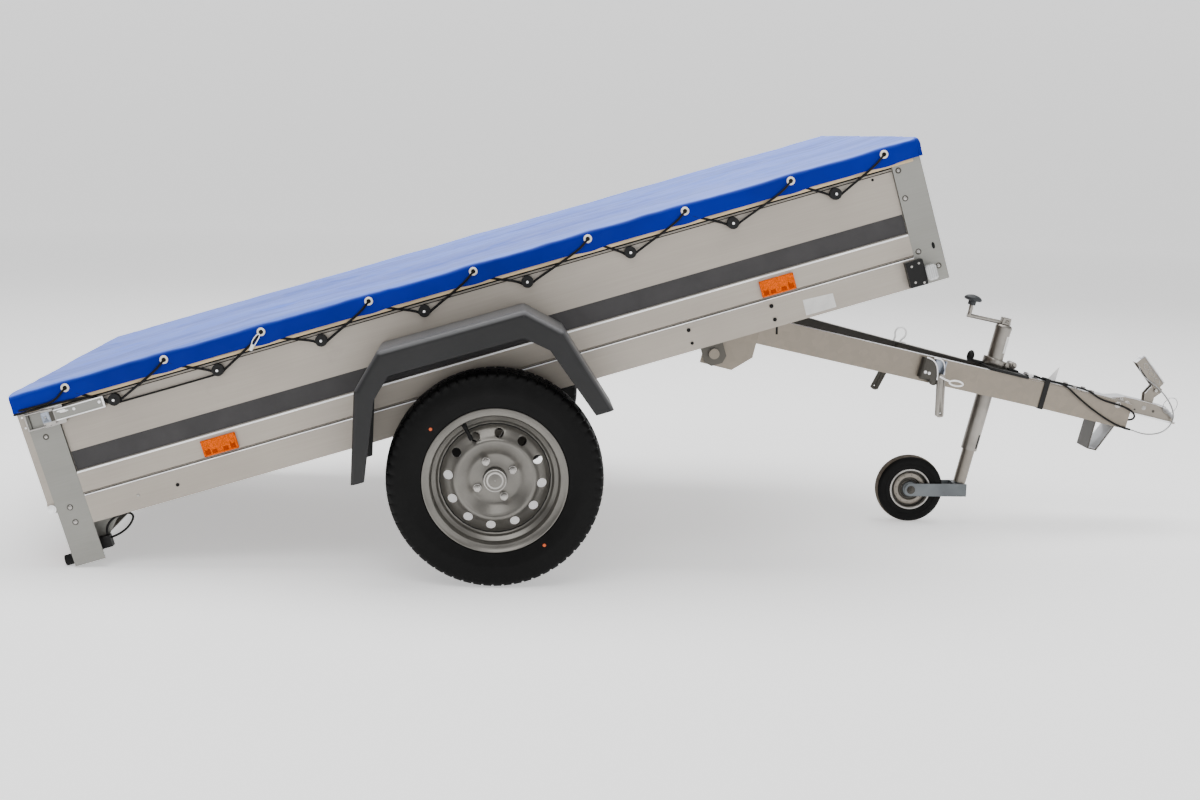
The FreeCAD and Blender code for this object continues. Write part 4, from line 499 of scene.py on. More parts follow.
class Bench:
    """Hand tools: primitives, edit-mode steps and modifiers, and placing."""

    @staticmethod
    def clear() -> None:
        """Leave nothing selected, in object mode."""
        if bpy.context.mode != "OBJECT":
            bpy.ops.object.mode_set(mode="OBJECT")
        bpy.ops.object.select_all(action="DESELECT")

    @staticmethod
    def pick(*pieces: Piece) -> None:
        """Select these pieces only, the first one active."""
        Bench.clear()
        for piece in pieces:
            piece.select_set(True)
        bpy.context.view_layer.objects.active = pieces[0]

    @staticmethod
    @contextmanager
    def editing(piece: Piece) -> Iterator[None]:
        """Open a piece in edit mode with all of its mesh selected, and leave the mode after the work."""
        Bench.pick(piece)
        bpy.ops.object.mode_set(mode="EDIT")
        bpy.ops.mesh.select_all(action="SELECT")
        yield
        bpy.ops.object.mode_set(mode="OBJECT")

    @staticmethod
    def drop(piece: Piece) -> None:
        """Throw a piece away."""
        Bench.pick(piece)
        bpy.ops.object.delete()

    @staticmethod
    def named(name: str) -> Piece:
        """Name the active object and its mesh, and fix its place in its mesh."""
        made = bpy.context.view_layer.objects.active
        made.name = name
        made.data.name = name
        bpy.ops.object.transform_apply(location=True, rotation=True, scale=True)
        return made

    @staticmethod
    def block(name: str, low: Spot, high: Spot, edge: float = 0.0, steps: int = 2) -> Piece:
        """Make a box between two corners, its edges rounded off.

        Args:
            name: The piece's name.
            low: Its lowest corner.
            high: Its highest corner.
            edge: The width of the rounded edge, or 0.
            steps: Segments in the rounding.

        Returns:
            The piece.
        """
        Bench.clear()
        middle = [(a + b) / 2 for a, b in zip(low, high)]
        bpy.ops.mesh.primitive_cube_add(size=1.0, location=middle)
        bpy.context.object.scale = [abs(b - a) for a, b in zip(low, high)]
        made = Bench.named(name)
        if edge:
            Bench.soften(made, edge, steps)
        return made

    @staticmethod
    def bar(name: str, radius: float, start: Spot, end: Spot, sides: int = 20, edge: float = 0.0,
            tip: float | None = None) -> Piece:
        """Make a round bar or cone from one point to another, its rims rounded off."""
        Bench.clear()
        run = Vector(end) - Vector(start)
        middle = (Vector(start) + Vector(end)) / 2
        turn = run.to_track_quat("Z", "Y").to_euler()
        bpy.ops.mesh.primitive_cone_add(
            vertices=sides, radius1=radius, radius2=radius if tip is None else tip, depth=run.length,
            location=middle, rotation=turn)
        made = Bench.named(name)
        if edge:
            Bench.soften(made, edge, 2)
        Bench.smooth(made)
        return made

    @staticmethod
    def ball(name: str, radius: float, middle: Spot, squeeze: Spot = EVEN, rings: int = 12) -> Piece:
        """Make a dome or ball, squeezed along the axes."""
        Bench.clear()
        bpy.ops.mesh.primitive_uv_sphere_add(
            segments=rings * 2, ring_count=rings, radius=radius, location=middle)
        bpy.context.object.scale = squeeze
        made = Bench.named(name)
        Bench.smooth(made, 80.0)
        return made

    @staticmethod
    def outline(name: str, points: Sequence[Spot], filled: bool) -> Piece:
        """Draw a closed outline through points, starting from a circle of as many."""
        Bench.clear()
        bpy.ops.mesh.primitive_circle_add(vertices=len(points), fill_type="NGON" if filled else "NOTHING")
        made = Bench.named(name)
        for vertex, spot in zip(made.data.vertices, points):
            vertex.co = spot
        return made

    @staticmethod
    def plate(name: str, points: Sequence[Spot], push: Spot, edge: float = 0.0) -> Piece:
        """Make a plate: an outline pushed through its thickness."""
        made = Bench.outline(name, points, True)
        with Bench.editing(made):
            bpy.ops.mesh.extrude_region_move(TRANSFORM_OT_translate={"value": push})
            bpy.ops.mesh.select_all(action="SELECT")
            bpy.ops.mesh.normals_make_consistent(inside=False)
        if edge:
            Bench.soften(made, edge, 2)
        return made

    @staticmethod
    def turned(name: str, section: Sequence[Flat], steps: int) -> Piece:
        """Turn a closed section of (outward, radius) about the Y axis."""
        made = Bench.outline(name, [(0.0, y, r) for y, r in section], False)
        with Bench.editing(made):
            bpy.ops.mesh.spin(steps=steps, angle=2 * math.pi, center=(0.0, 0.0, 0.0), axis=(0.0, 1.0, 0.0))
            bpy.ops.mesh.select_all(action="SELECT")
            bpy.ops.mesh.remove_doubles(threshold=0.00005)
            bpy.ops.mesh.normals_make_consistent(inside=False)
        return made

    @staticmethod
    def stand(piece: Piece, place: Spot) -> None:
        """Stand a piece that was turned about the Y axis upright at a place."""
        piece.data.transform(Matrix.Translation(place) @ Matrix.Rotation(math.radians(90.0), 4, "X"))

    @staticmethod
    def soften(piece: Piece, width: float, steps: int = 2, angle: float = 35.0) -> None:
        """Round off the sharp edges with a bevel, applied."""
        Bench.pick(piece)
        bevel = piece.modifiers.new("edge", "BEVEL")
        bevel.width = width
        bevel.segments = steps
        bevel.limit_method = "ANGLE"
        bevel.angle_limit = math.radians(angle)
        bpy.ops.object.modifier_apply(modifier="edge")
        Bench.smooth(piece)

    @staticmethod
    def smooth(piece: Piece, angle: float = 40.0) -> None:
        """Shade smooth over edges flatter than an angle."""
        Bench.pick(piece)
        bpy.ops.object.shade_smooth_by_angle(angle=math.radians(angle))

    @staticmethod
    def cut(piece: Piece, cutter: Piece) -> None:
        """Cut one piece out of another and throw the cutter away."""
        Bench.pick(piece)
        knife = piece.modifiers.new("cut", "BOOLEAN")
        knife.operation = "DIFFERENCE"
        knife.solver = "EXACT"
        knife.object = cutter
        bpy.ops.object.modifier_apply(modifier="cut")
        Bench.drop(cutter)

    @staticmethod
    def pipe(name: str, points: Sequence[Spot], radius: float, closed: bool = False, order: int = 3) -> Piece:
        """Make a round line through control points, as a mesh.

        Args:
            name: The piece's name.
            points: The control points of its route.
            radius: Half its thickness.
            closed: Whether it runs round to its start.
            order: 3 for a soft route, 2 for straight runs.

        Returns:
            The piece.
        """
        Bench.clear()
        line = bpy.data.curves.new(name, "CURVE")
        line.dimensions = "3D"
        line.resolution_u = 4
        line.bevel_depth = radius
        line.bevel_resolution = 2
        line.use_fill_caps = not closed
        spline = line.splines.new("NURBS")
        spline.points.add(len(points) - 1)
        for knot, spot in zip(spline.points, points):
            knot.co = (*spot, 1.0)
        spline.order_u = order
        spline.use_cyclic_u = closed
        spline.use_endpoint_u = not closed
        made = bpy.data.objects.new(name, line)
        bpy.context.scene.collection.objects.link(made)
        Bench.pick(made)
        bpy.ops.object.convert(target="MESH")
        made = bpy.context.view_layer.objects.active
        made.name = name
        Bench.smooth(made, 60.0)
        return made

    @staticmethod
    def ring(name: str, middle: Spot, radius: float, wire: float, normal: Spot = (0.0, 1.0, 0.0)) -> Piece:
        """Make a round ring of wire that faces along a direction."""
        Bench.clear()
        turn = Vector(normal).to_track_quat("Z", "Y").to_euler()
        bpy.ops.mesh.primitive_torus_add(major_radius=radius, minor_radius=wire, major_segments=28,
                                         minor_segments=8, location=middle, rotation=turn)
        made = Bench.named(name)
        Bench.smooth(made, 80.0)
        return made

    @staticmethod
    def join(name: str, pieces: Sequence[Piece]) -> Piece:
        """Join pieces into one and name it."""
        Bench.pick(*pieces)
        if len(pieces) > 1:
            bpy.ops.object.join()
        made = bpy.context.view_layer.objects.active
        made.name = name
        made.data.name = name
        return made

    @staticmethod
    def copy(piece: Piece, name: str, move: Matrix) -> Piece:
        """Copy a piece with a mesh of its own, moved by a matrix."""
        made = piece.copy()
        made.data = piece.data.copy()
        made.name = name
        made.data.transform(move)
        bpy.context.scene.collection.objects.link(made)
        return made

    @staticmethod
    def flipped(piece: Piece, name: str) -> Piece:
        """Copy a piece to the other side, its faces turned the right way out."""
        made = Bench.copy(piece, name, Matrix.Diagonal((1.0, -1.0, 1.0, 1.0)))
        with Bench.editing(made):
            bpy.ops.mesh.flip_normals()
        return made


@dataclass
class Yard:
    """Where the trailer's own frames stand, and how pieces are handed over."""

    axle_x: float
    placed: int = 0

    def bed(self) -> Matrix:
        """Turn from the level bed's frame to where the bed stands."""
        return Matrix.Translation((self.axle_x, 0.0, AXLE_HEIGHT)) @ Matrix.Rotation(-BED_TILT, 4, "Y")

    def bar(self) -> Matrix:
        """Turn from the drawbar's frame to where the drawbar stands."""
        shift = (self.axle_x + BAR_ORIGIN[0], 0.0, BAR_ORIGIN[1])
        return Matrix.Translation(shift) @ Matrix.Rotation(BAR_SLOPE, 4, "Y")

    def hand_over(self, piece: Piece, finish: Finish, slot: str, body: str, place: Matrix | None,
                  replaces: Iterable[str] = ()) -> Piece:
        """Finish a piece: its place in its mesh, its material and its body.

        Args:
            piece: The finished piece.
            finish: Its surface.
            slot: The record's material slot; not used.
            body: The body that it rides on.
            place: The matrix from its own frame, or None if it is in place.
            replaces: The CAD nodes that it stands for.

        Returns:
            The piece.
        """
        if place is not None:
            piece.data.transform(place)
        if not piece.data.materials:
            piece.data.materials.append(finish.material())
        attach(piece, body)
        if replaces:
            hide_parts(*replaces)
        self.placed += 1
        log.info("%s rides on %s", piece.name, body)
        return piece


@dataclass
class CadFinishes:
    """Which finish each CAD node wears."""

    nodes: dict[str, Piece]
    choices: dict[str, Finish] = field(default_factory=lambda: {
        "zinc_sheet": ZINC, "galvanised_steel": GALVANISED, "bright_zinc": PLATED, "birch_plywood": PLYWOOD,
        "cover_cloth": CLOTH, "black_plastic": PLASTIC, "clear_lens": CLEAR, "red_lens": RED,
        "orange_reflector": ORANGE, "silver_paint": SILVER, "tyre_rubber": TYRE, "black_rubber": RUBBER})
    named: dict[str, Finish] = field(default_factory=lambda: {
        "front_posts": POST_ZINC, "rear_posts": POST_ZINC, "mudguards": GUARD,
        "floor_crossmembers": SHADED_UNDER_ZINC, "axle_tube": SHADED_UNDER_ZINC, "axle_brackets": SHADED_UNDER_ZINC,
        "swing_arms": SHADED_UNDER_ZINC, "tip_brackets": SHADED_UNDER_ZINC, "rear_light_board": POST_ZINC,
        "jockey_inner_tube": LEG, "jockey_outer_tube": TUBE, "jockey_fork": FORK, "support_foot": SHADED_FOOT,
        "plug_holder": WHITE, "drawbar_beam_left": SHADED_FAR_BEAM, "coupling_body": COUPLING,
        "coupling_handle": COUPLING, "jockey_crank": TUBE})

    def dress(self, subparts: Sequence[dict[str, str]]) -> None:
        """Give each node the finish of its slot, or one of its own."""
        for part in subparts:
            node = self.nodes[part["node"]]
            finish = self.named.get(part["node"], self.choices[part["material_slot"]])
            node.data.materials.clear()
            node.data.materials.append(finish.material())
            self.soften(node)
        log.info("%d CAD nodes dressed", len(subparts))

    @staticmethod
    def soften(node: Piece) -> None:
        """Shade a node smooth, its sharper edges kept by a live split."""
        for face in node.data.polygons:
            face.use_smooth = True
        split = node.modifiers.new("split", "EDGE_SPLIT")
        split.split_angle = math.radians(28.0)


@dataclass
class Wheel:
    """A road wheel: tyre with tread, pressed rim with vents and bolts, valve."""

    yard: Yard
    track: float = 1.51
    pitches: int = 66
    vent_reach: float = 0.117
    bolt_reach: float = 0.0495
    bolt_start: float = 11.0

    def tyre_section(self) -> list[Flat]:
        """Give the tyre's outer half section, from bead to tread middle, as (outward, radius)."""
        return [(0.0562, 0.1672), (0.06, 0.174), (0.0628, 0.1812), (0.065, 0.1838), (0.0672, 0.185),
                (0.07, 0.1925), (0.073, 0.202), (0.0756, 0.211), (0.0764, 0.215), (0.0768, 0.2165),
                (0.0772, 0.222), (0.077, 0.23), (0.0758, 0.239), (0.0738, 0.247), (0.0722, 0.252),
                (0.0706, 0.257), (0.0684, 0.262), (0.0655, 0.2658), (0.0618, 0.2687), (0.0575, 0.2702),
                (0.047, 0.2716), (0.039, 0.2722), (0.0383, 0.265), (0.0313, 0.265), (0.0306, 0.2726),
                (0.017, 0.2732), (0.0163, 0.266), (0.0083, 0.266), (0.0076, 0.2735)]

    def tyre(self, name: str) -> Piece:
        """Turn the tyre and press its side grooves in."""
        half = self.tyre_section()
        section = half + [(-y, r) for y, r in reversed(half)] + [(-0.045, 0.1655), (0.045, 0.1655)]
        made = Bench.turned(name, section, self.pitches * 4)
        step = 2 * math.pi / (self.pitches * 4)
        shares = (0.0, 0.05, 0.21, 0.26)
        for vertex in made.data.vertices:
            x, y, z = vertex.co
            radius = math.hypot(x, z)
            turn = math.atan2(z, x) % (2 * math.pi)
            column = round(turn / step)
            pitch, place = divmod(column, 4)
            skew = 0.35 * math.copysign(max(0.0, abs(y) - 0.004), y) / 0.0775
            angle = (pitch + shares[place] + (0.5 if y < 0 else 0.0) + skew * 0.6) * step * 4
            shoulder = 0.0385 < abs(y) < 0.0765 and radius > 0.251
            rib = 0.0165 < abs(y) < 0.031 and radius > 0.27
            if shoulder and place in (1, 2):
                radius -= 0.003 if radius > 0.265 else 0.0016
            if rib and place in (1, 2):
                radius -= 0.0025
            if radius < 0.248:
                angle = column * step
            vertex.co = (radius * math.cos(angle), y, radius * math.sin(angle))
        Bench.smooth(made, 38.0)
        return made

    def rim_section(self) -> list[Flat]:
        """Give the rim's closed section: flanges, bead seats, well and the pressed disc."""
        front = [(-0.0664, 0.18), (-0.066, 0.1822), (-0.064, 0.1826), (-0.0624, 0.1815), (-0.06, 0.1745),
                 (-0.0562, 0.1652), (-0.03, 0.1645), (-0.02, 0.1465), (0.02, 0.1465), (0.0285, 0.1642),
                 (0.0562, 0.1652), (0.06, 0.1745), (0.0624, 0.1815), (0.064, 0.1826), (0.066, 0.1822),
                 (0.0664, 0.18), (0.0645, 0.1768), (0.0612, 0.1722), (0.0598, 0.164), (0.056, 0.1612),
                 (0.042, 0.16), (0.039, 0.158), (0.036, 0.149), (0.033, 0.1464), (0.029, 0.145),
                 (0.0262, 0.1425), (0.025, 0.1388), (0.0262, 0.1362), (0.03, 0.132), (0.0345, 0.1255),
                 (0.04, 0.1145), (0.0458, 0.1068), (0.0498, 0.1028), (0.0518, 0.099), (0.052, 0.0955),
                 (0.0508, 0.092), (0.047, 0.085), (0.042, 0.076), (0.038, 0.069), (0.0352, 0.064),
                 (0.034, 0.06), (0.034, 0.038), (0.0352, 0.033), (0.0352, 0.029)]
        back = [(0.03, 0.029), (0.03, 0.06), (0.0312, 0.065), (0.043, 0.086), (0.0478, 0.095),
                (0.047, 0.0985), (0.04, 0.1085), (0.03, 0.1255), (0.0222, 0.1372), (0.0215, 0.142),
                (-0.0185, 0.142), (-0.029, 0.1605), (-0.06, 0.161)]
        return front + back

    def rim(self, name: str) -> Piece:
        """Turn the rim and press the vents and bolt seats through it."""
        made = Bench.turned(name, self.rim_section(), 120)
        cutters = [self.spoke_bar("vent", 0.0117, self.vent_reach, turn, 0.02, 0.07)
                   for turn in self.turns(12, 8.7)]
        cutters += [self.spoke_bar("seat", 0.0085, self.bolt_reach, turn, 0.02, 0.05)
                    for turn in self.turns(4, self.bolt_start)]
        Bench.cut(made, Bench.join("holes", cutters))
        Bench.soften(made, 0.0008, 2, 50.0)
        return made

    @staticmethod
    def turns(count: int, start: float) -> list[float]:
        """Give evenly spread angles round the axle, the first one in degrees."""
        return [math.radians(start + 360.0 / count * index) for index in range(count)]

    def spoke_bar(self, name: str, radius: float, reach: float, turn: float, low: float, high: float,
                  sides: int = 28, edge: float = 0.0) -> Piece:
        """Make a bar along the axle at a reach and turn around it."""
        x, z = reach * math.cos(turn), reach * math.sin(turn)
        return Bench.bar(name, radius, (x, low, z), (x, high, z), sides, edge)

    def bolts(self, name: str) -> Piece:
        """Make the four wheel bolts, each a washer cone, a hexagon and its pressed end."""
        pieces = []
        for turn in self.turns(4, self.bolt_start):
            for label, radius, low, high, sides, edge in (("seat", 0.0105, 0.0325, 0.0368, 24, 0.0012),
                                                          ("head", 0.0092, 0.0365, 0.052, 6, 0.0009),
                                                          ("end", 0.0056, 0.0515, 0.0532, 16, 0.0005)):
                pieces.append(self.spoke_bar(label, radius, self.bolt_reach, turn, low, high, sides, edge))
        return Bench.join(name, pieces)

    def cap(self, name: str) -> Piece:
        """Turn the hub cap's rolled face and the dark ring round its foot."""
        section = [(0.0345, 0.0287), (0.06, 0.0287), (0.0626, 0.0278), (0.0644, 0.0258), (0.0648, 0.023),
                   (0.0636, 0.0205), (0.0641, 0.0165), (0.0652, 0.008), (0.0655, 0.0012), (0.064, 0.0012),
                   (0.063, 0.0255), (0.06, 0.0285), (0.0345, 0.0285)]
        made = Bench.turned(name, section, 48)
        Bench.smooth(made, 45.0)
        return made

    def joints(self, name: str) -> Piece:
        """Lay the dark joint where the disc meets the well and the one round the hub cap."""
        return Bench.join(name,
                          [Bench.ring("disc_joint", (0.0, 0.0252, 0.0), 0.1386, 0.0014),
                           Bench.ring("cap_joint", (0.0, 0.0354, 0.0), 0.0278, 0.0013)])

    def valve(self, name: str) -> Piece:
        """Make the rubber valve that leans out of the well, with its cap."""
        turn = math.radians(120.0 - 17.0)
        out = Vector((math.cos(turn), 0.0, math.sin(turn)))

        def spot(reach: float, y: float) -> Spot:
            """Give a spot out from the axle at a reach and depth."""
            return (out.x * reach, y, out.z * reach)

        stem = Bench.bar("stem", 0.0068, spot(0.16, 0.045), spot(0.145, 0.053), 16, 0.001, 0.0052)
        neck = Bench.bar("neck", 0.0048, spot(0.1455, 0.0527), spot(0.129, 0.059), 16, 0.0008)
        cap = Bench.bar("cap", 0.0056, spot(0.13, 0.0586), spot(0.118, 0.063), 12, 0.0012)
        return Bench.join(name, [stem, neck, cap])

    def dots(self, name: str) -> Piece:
        """Make the two paint dots on the outer wall."""
        pieces = []
        for reach, turn in ((0.206, 141.0 - 17.0), (0.203, -52.0 - 17.0)):
            angle = math.radians(turn)
            x, z = reach * math.cos(angle), reach * math.sin(angle)
            pieces.append(Bench.ball("dot", 0.0042, (x, 0.0752, z), (1.0, 0.25, 1.0), 8))
        return Bench.join(name, pieces)

    def place(self, side: float) -> Matrix:
        """Give the matrix from a left-hand wheel's own frame to its place."""
        return self.yard.bed() @ Matrix.Translation((0.0, side * self.track / 2, 0.0))

    def build(self) -> None:
        """Build both wheels; the right one mirrors the left one."""
        tyre, rim = self.tyre("wheel_tyre_form"), self.rim("wheel_rim_form")
        bolts, cap = self.bolts("wheel_bolt_form"), self.cap("wheel_cap_form")
        valve, dots = self.valve("wheel_valve_form"), self.dots("wheel_dot_form")
        joints = self.joints("wheel_joint_form")
        parts = (
            (tyre, "road_tyre", TYRE, "tyre_rubber", "wheel_tyre"),
            (rim, "steel_rim", SILVER, "silver_paint", "wheel_rim"),
            (bolts, "wheel_bolts", PLATED, "bright_zinc", ""), (cap, "hub_cap", SILVER, "bright_zinc", ""),
            (valve, "tyre_valve", RUBBER, "tyre_rubber", ""), (dots, "wall_dots", DOT, "tyre_rubber", ""),
            (joints, "wheel_joints", RUBBER, "black_rubber", ""))
        for form, label, finish, slot, node in parts:
            for side_name, side in SIDES.items():
                name = f"{label}_{side_name}"
                made = Bench.copy(form, name, Matrix.Identity(4)) if side > 0 else Bench.flipped(form, name)
                stands_for = [f"{node}_{side_name}"] if node else []
                self.yard.hand_over(made, finish, slot, f"wheel_{side_name}", self.place(side), stands_for)
            Bench.drop(form)


@dataclass
class Cover:
    """The laced flat cover: its cloth, rear flap, eyelets and elastic."""

    yard: Yard
    rear: float = -1.1236
    front: float = 1.2665
    half: float = 0.6575
    top: float = 0.524
    hem: float = 0.05
    round: float = 0.012
    eyelets: tuple[float, ...] = (-0.98, -0.722, -0.468, -0.186, 0.088, 0.389, 0.645, 0.924, 1.17)
    knobs: tuple[float, ...] = (-0.873, -0.602, -0.33, -0.059, 0.212, 0.484, 0.755, 1.027)
    knob_height: float = 0.439
    eyelet_drop: float = 0.022

    @property
    def eyelet_height(self) -> float:
        """How high the eyelets sit, above the axle."""
        return self.top - self.eyelet_drop

    def fold(self, over: float) -> Flat:
        """Give how far out and down a point lies that is a length past the fold's start.

        Args:
            over: Length of cloth past the start of the rounded edge.

        Returns:
            The reach outward and the drop.
        """
        arc = self.round * math.pi / 2
        if over <= 0.0:
            return over, 0.0
        if over < arc:
            turn = over / self.round
            return self.round * math.sin(turn), self.round * (1 - math.cos(turn))
        return self.round, self.round + over - arc

    @staticmethod
    def spread(low: float, high: float, count: int) -> list[float]:
        """Give evenly spread values, both ends included."""
        return [low + (high - low) * index / (count - 1) for index in range(count)]

    def lines(self, low_edge: bool, low: float, high: float, count: int) -> list[float]:
        """Give cloth lengths across a span with finer steps over its folded edges."""
        arc = self.round * math.pi / 2
        skirt = self.hem - self.round + 0.0005
        fine = [arc * share for share in (0.25, 0.5, 0.75, 1.0)] + [
            arc + skirt * share
            for share in (0.2, 0.4, 0.6, 0.8, 1.0)]
        inside = self.spread(low, high, count)
        after = [high + step for step in fine]
        before = [low - step for step in reversed(fine)] if low_edge else []
        return before + inside + after

    def sag(self, x: float, y: float) -> float:
        """Give the height of the top's creases and hollows at a place on the bed."""
        edge = max(0.0, 1.0 - (abs(y) / (self.half - 0.02)) ** 6)
        edge = edge * min(1.0,
                          max(0.0, (self.front - 0.02 - x) / 0.12)) * min(1.0, (x - self.rear) / 0.08 + 0.2)
        hollow = -0.0056 * edge * (0.6 + 0.4 * math.cos(x * 5.2))
        broad = 0.005 * waver(x * 2.1, y * 2.7, 0.3)
        pulls = 0.0034 * waver(x * 5.0 + y * 4.0, (y - x) * 11.0, 1.7)
        fine = 0.0013 * waver(x * 24.0, y * 30.0, 4.0)
        fold = 0.0
        for place in (-0.52, 0.03, 0.6):
            fold += 0.0022 * math.exp(-((x - place - 0.006 * math.sin(y * 9.0)) / 0.007) ** 2)
        for place in (-0.22, 0.24):
            fold += 0.002 * math.exp(-((y - place - 0.004 * math.sin(x * 7.0)) / 0.007) ** 2)
        return hollow + (broad + pulls + fine) * (0.25 + 0.75 * edge) + fold * edge

    def shoulder(self, x: float) -> float:
        """Give how far the cloth's edge dips between the eyelets, at a place along the bed."""
        near = min(abs(x - place) for place in self.eyelets)
        held = math.exp(-(near / 0.045) ** 2)
        wave = 0.0044 + 0.005 * waver(x * 4.3, 11.0) + 0.0022 * waver(x * 19.0, 3.0)
        return min(0.0046, max(0.0, wave)) * (1.0 - 0.55 * held)

    def skirt_wave(self, along: float, depth: float, places: Sequence[float]) -> tuple[float, float]:
        """Give how a skirt swells out and dips where the lacing pulls it.

        Args:
            along: Place along the skirt.
            depth: How far down the skirt, from 0 to 1.
            places: Where the eyelets are.

        Returns:
            The move outward and the move down.
        """
        near = min(abs(along - place) for place in places)
        pull = math.exp(-(near / 0.035) ** 2)
        swell = 0.004 * depth * waver(along * 16.0, 2.0) + 0.0022 * depth * math.sin(along * 55.0)
        fine = 0.0012 * waver(along * 60.0, depth * 3.0, 5.0)
        for place in places:
            pucker = (along - place - 0.012 - 0.045 * (1.0 - depth)) / 0.009
            fine += 0.0034 * math.exp(-pucker ** 2) * (1.0 - 0.7 * depth) if abs(pucker) < 4.0 else 0.0
        loose = min(1.0, max(0.0, (along - 1.15) / 0.09)) + min(1.0, max(0.0, (-0.99 - along) / 0.1))
        swell += loose * 0.005 * depth * waver(along * 34.0, depth * 2.5, 9.0)
        out = max(-0.0005, swell + fine) * (1.0 - 0.8 * pull) - 0.0012 * pull
        return out, 0.0045 * pull * depth + 0.0015 * depth * waver(along * 8.0, 7.0)

    def cloth(self, name: str) -> Piece:
        """Lay the cloth: a grid folded down over three edges, creased, then given its thickness."""
        flat_front = self.front - self.round
        flat_half = self.half - self.round
        across = self.lines(True, -flat_half, flat_half, 104)
        along = self.lines(False, self.rear, flat_front, 190)
        Bench.clear()
        bpy.ops.mesh.primitive_grid_add(x_subdivisions=len(along) - 1, y_subdivisions=len(across) - 1,
                                        size=2.0)
        made = Bench.named(name)
        for index, vertex in enumerate(made.data.vertices):
            row, column = divmod(index, len(along))
            vertex.co = self.laid(along[column], across[row], flat_front, flat_half)
        return self.thicken(made)

    def laid(self, x: float, s: float, flat_front: float, flat_half: float) -> Spot:
        """Give where a point of the flat cloth lies once it is folded over the edges."""
        side = math.copysign(1.0, s)
        over_side = abs(s) - flat_half
        over_front = x - flat_front
        out_side, drop_side = self.fold(over_side)
        out_front, drop_front = self.fold(over_front)
        if over_side > 0.0 and over_front > 0.0:
            longest = max(over_side, over_front)
            out, drop = self.fold(longest)
            turn = math.atan2(over_side, over_front)
            out += 0.005 * min(1.0, drop / 0.012) * abs(waver(turn * 5.0, drop * 70.0, side * 3.0))
            drop += 0.003 * waver(turn * 4.0, 1.0, side)
            tuck = 1.0 - 0.1 * math.sin(2 * turn) ** 6
            return (flat_front + out * math.cos(turn) * tuck,
                    side * (flat_half + out * math.sin(turn) * tuck), self.top - drop)
        place_x = flat_front + out_front if over_front > 0 else x
        place_y = flat_half + out_side if over_side > 0 else abs(s)
        drop = max(drop_side, drop_front)
        depth = min(1.0, drop / self.hem)
        lift = self.sag(min(x, flat_front), min(abs(s), flat_half) * side) * (1.0 - depth)
        if over_side > 0.0:
            out, dip = self.skirt_wave(place_x, depth, self.eyelets)
            lift -= self.shoulder(place_x) * (1.0 - depth)
            return (place_x, side * (place_y + out), self.top - drop + lift - dip)
        if over_front > 0.0:
            out, dip = self.skirt_wave(s, depth, (-0.55, 0.0, 0.55))
            return (place_x + out, side * place_y, self.top - drop + lift - dip)
        rim = max(0.0, 1.0 - (flat_half - abs(s)) / 0.055)
        return (place_x, side * place_y, self.top + lift - self.shoulder(place_x) * rim ** 2.4)

    def thicken(self, made: Piece) -> Piece:
        """Give a cloth its thickness and smooth it."""
        with Bench.editing(made):
            bpy.ops.mesh.normals_make_consistent(inside=False)
        up = sum(face.normal.z * face.area for face in made.data.polygons)
        if up < 0:
            with Bench.editing(made):
                bpy.ops.mesh.flip_normals()
        wall = made.modifiers.new("wall", "SOLIDIFY")
        wall.thickness = 0.0009
        wall.offset = -1.0
        bpy.ops.object.modifier_apply(modifier="wall")
        Bench.smooth(made, 75.0)
        return made

    def flap(self, name: str) -> Piece:
        """Hang the rear flap over the tailgate, gathered a little at its ends."""
        Bench.clear()
        columns, rows = 90, 9
        bpy.ops.mesh.primitive_grid_add(x_subdivisions=columns - 1, y_subdivisions=rows - 1, size=2.0)
        made = Bench.named(name)
        for index, vertex in enumerate(made.data.vertices):
            row, column = divmod(index, columns)
            y = -0.602 + 1.204 * column / (columns - 1)
            depth = row / (rows - 1)
            out, dip = self.skirt_wave(y, depth, (-0.56, -0.28, 0.0, 0.28, 0.56))
            vertex.co = (-1.1222 - 0.6 * abs(out), y, 0.52 - 0.047 * depth - dip * 0.6)
        return self.thicken(made)

    def rings(self, side: float, name: str) -> Piece:
        """Press the metal eyelets into one side's skirt."""
        return Bench.join(
            name,
            [Bench.ring("eyelet", (place, side * (self.half + 0.0004), self.eyelet_height), 0.0082, 0.0028)
             for place in self.eyelets])

    def hole_discs(self, side: float, name: str) -> Piece:
        """Show the dark hole inside each eyelet."""
        inner, outer, height = side * (self.half - 0.0012), side * (self.half + 0.0008), self.eyelet_height
        return Bench.join(name, [Bench.bar("hole", 0.006, (place, inner, height), (place, outer, height), 16)
                                 for place in self.eyelets])

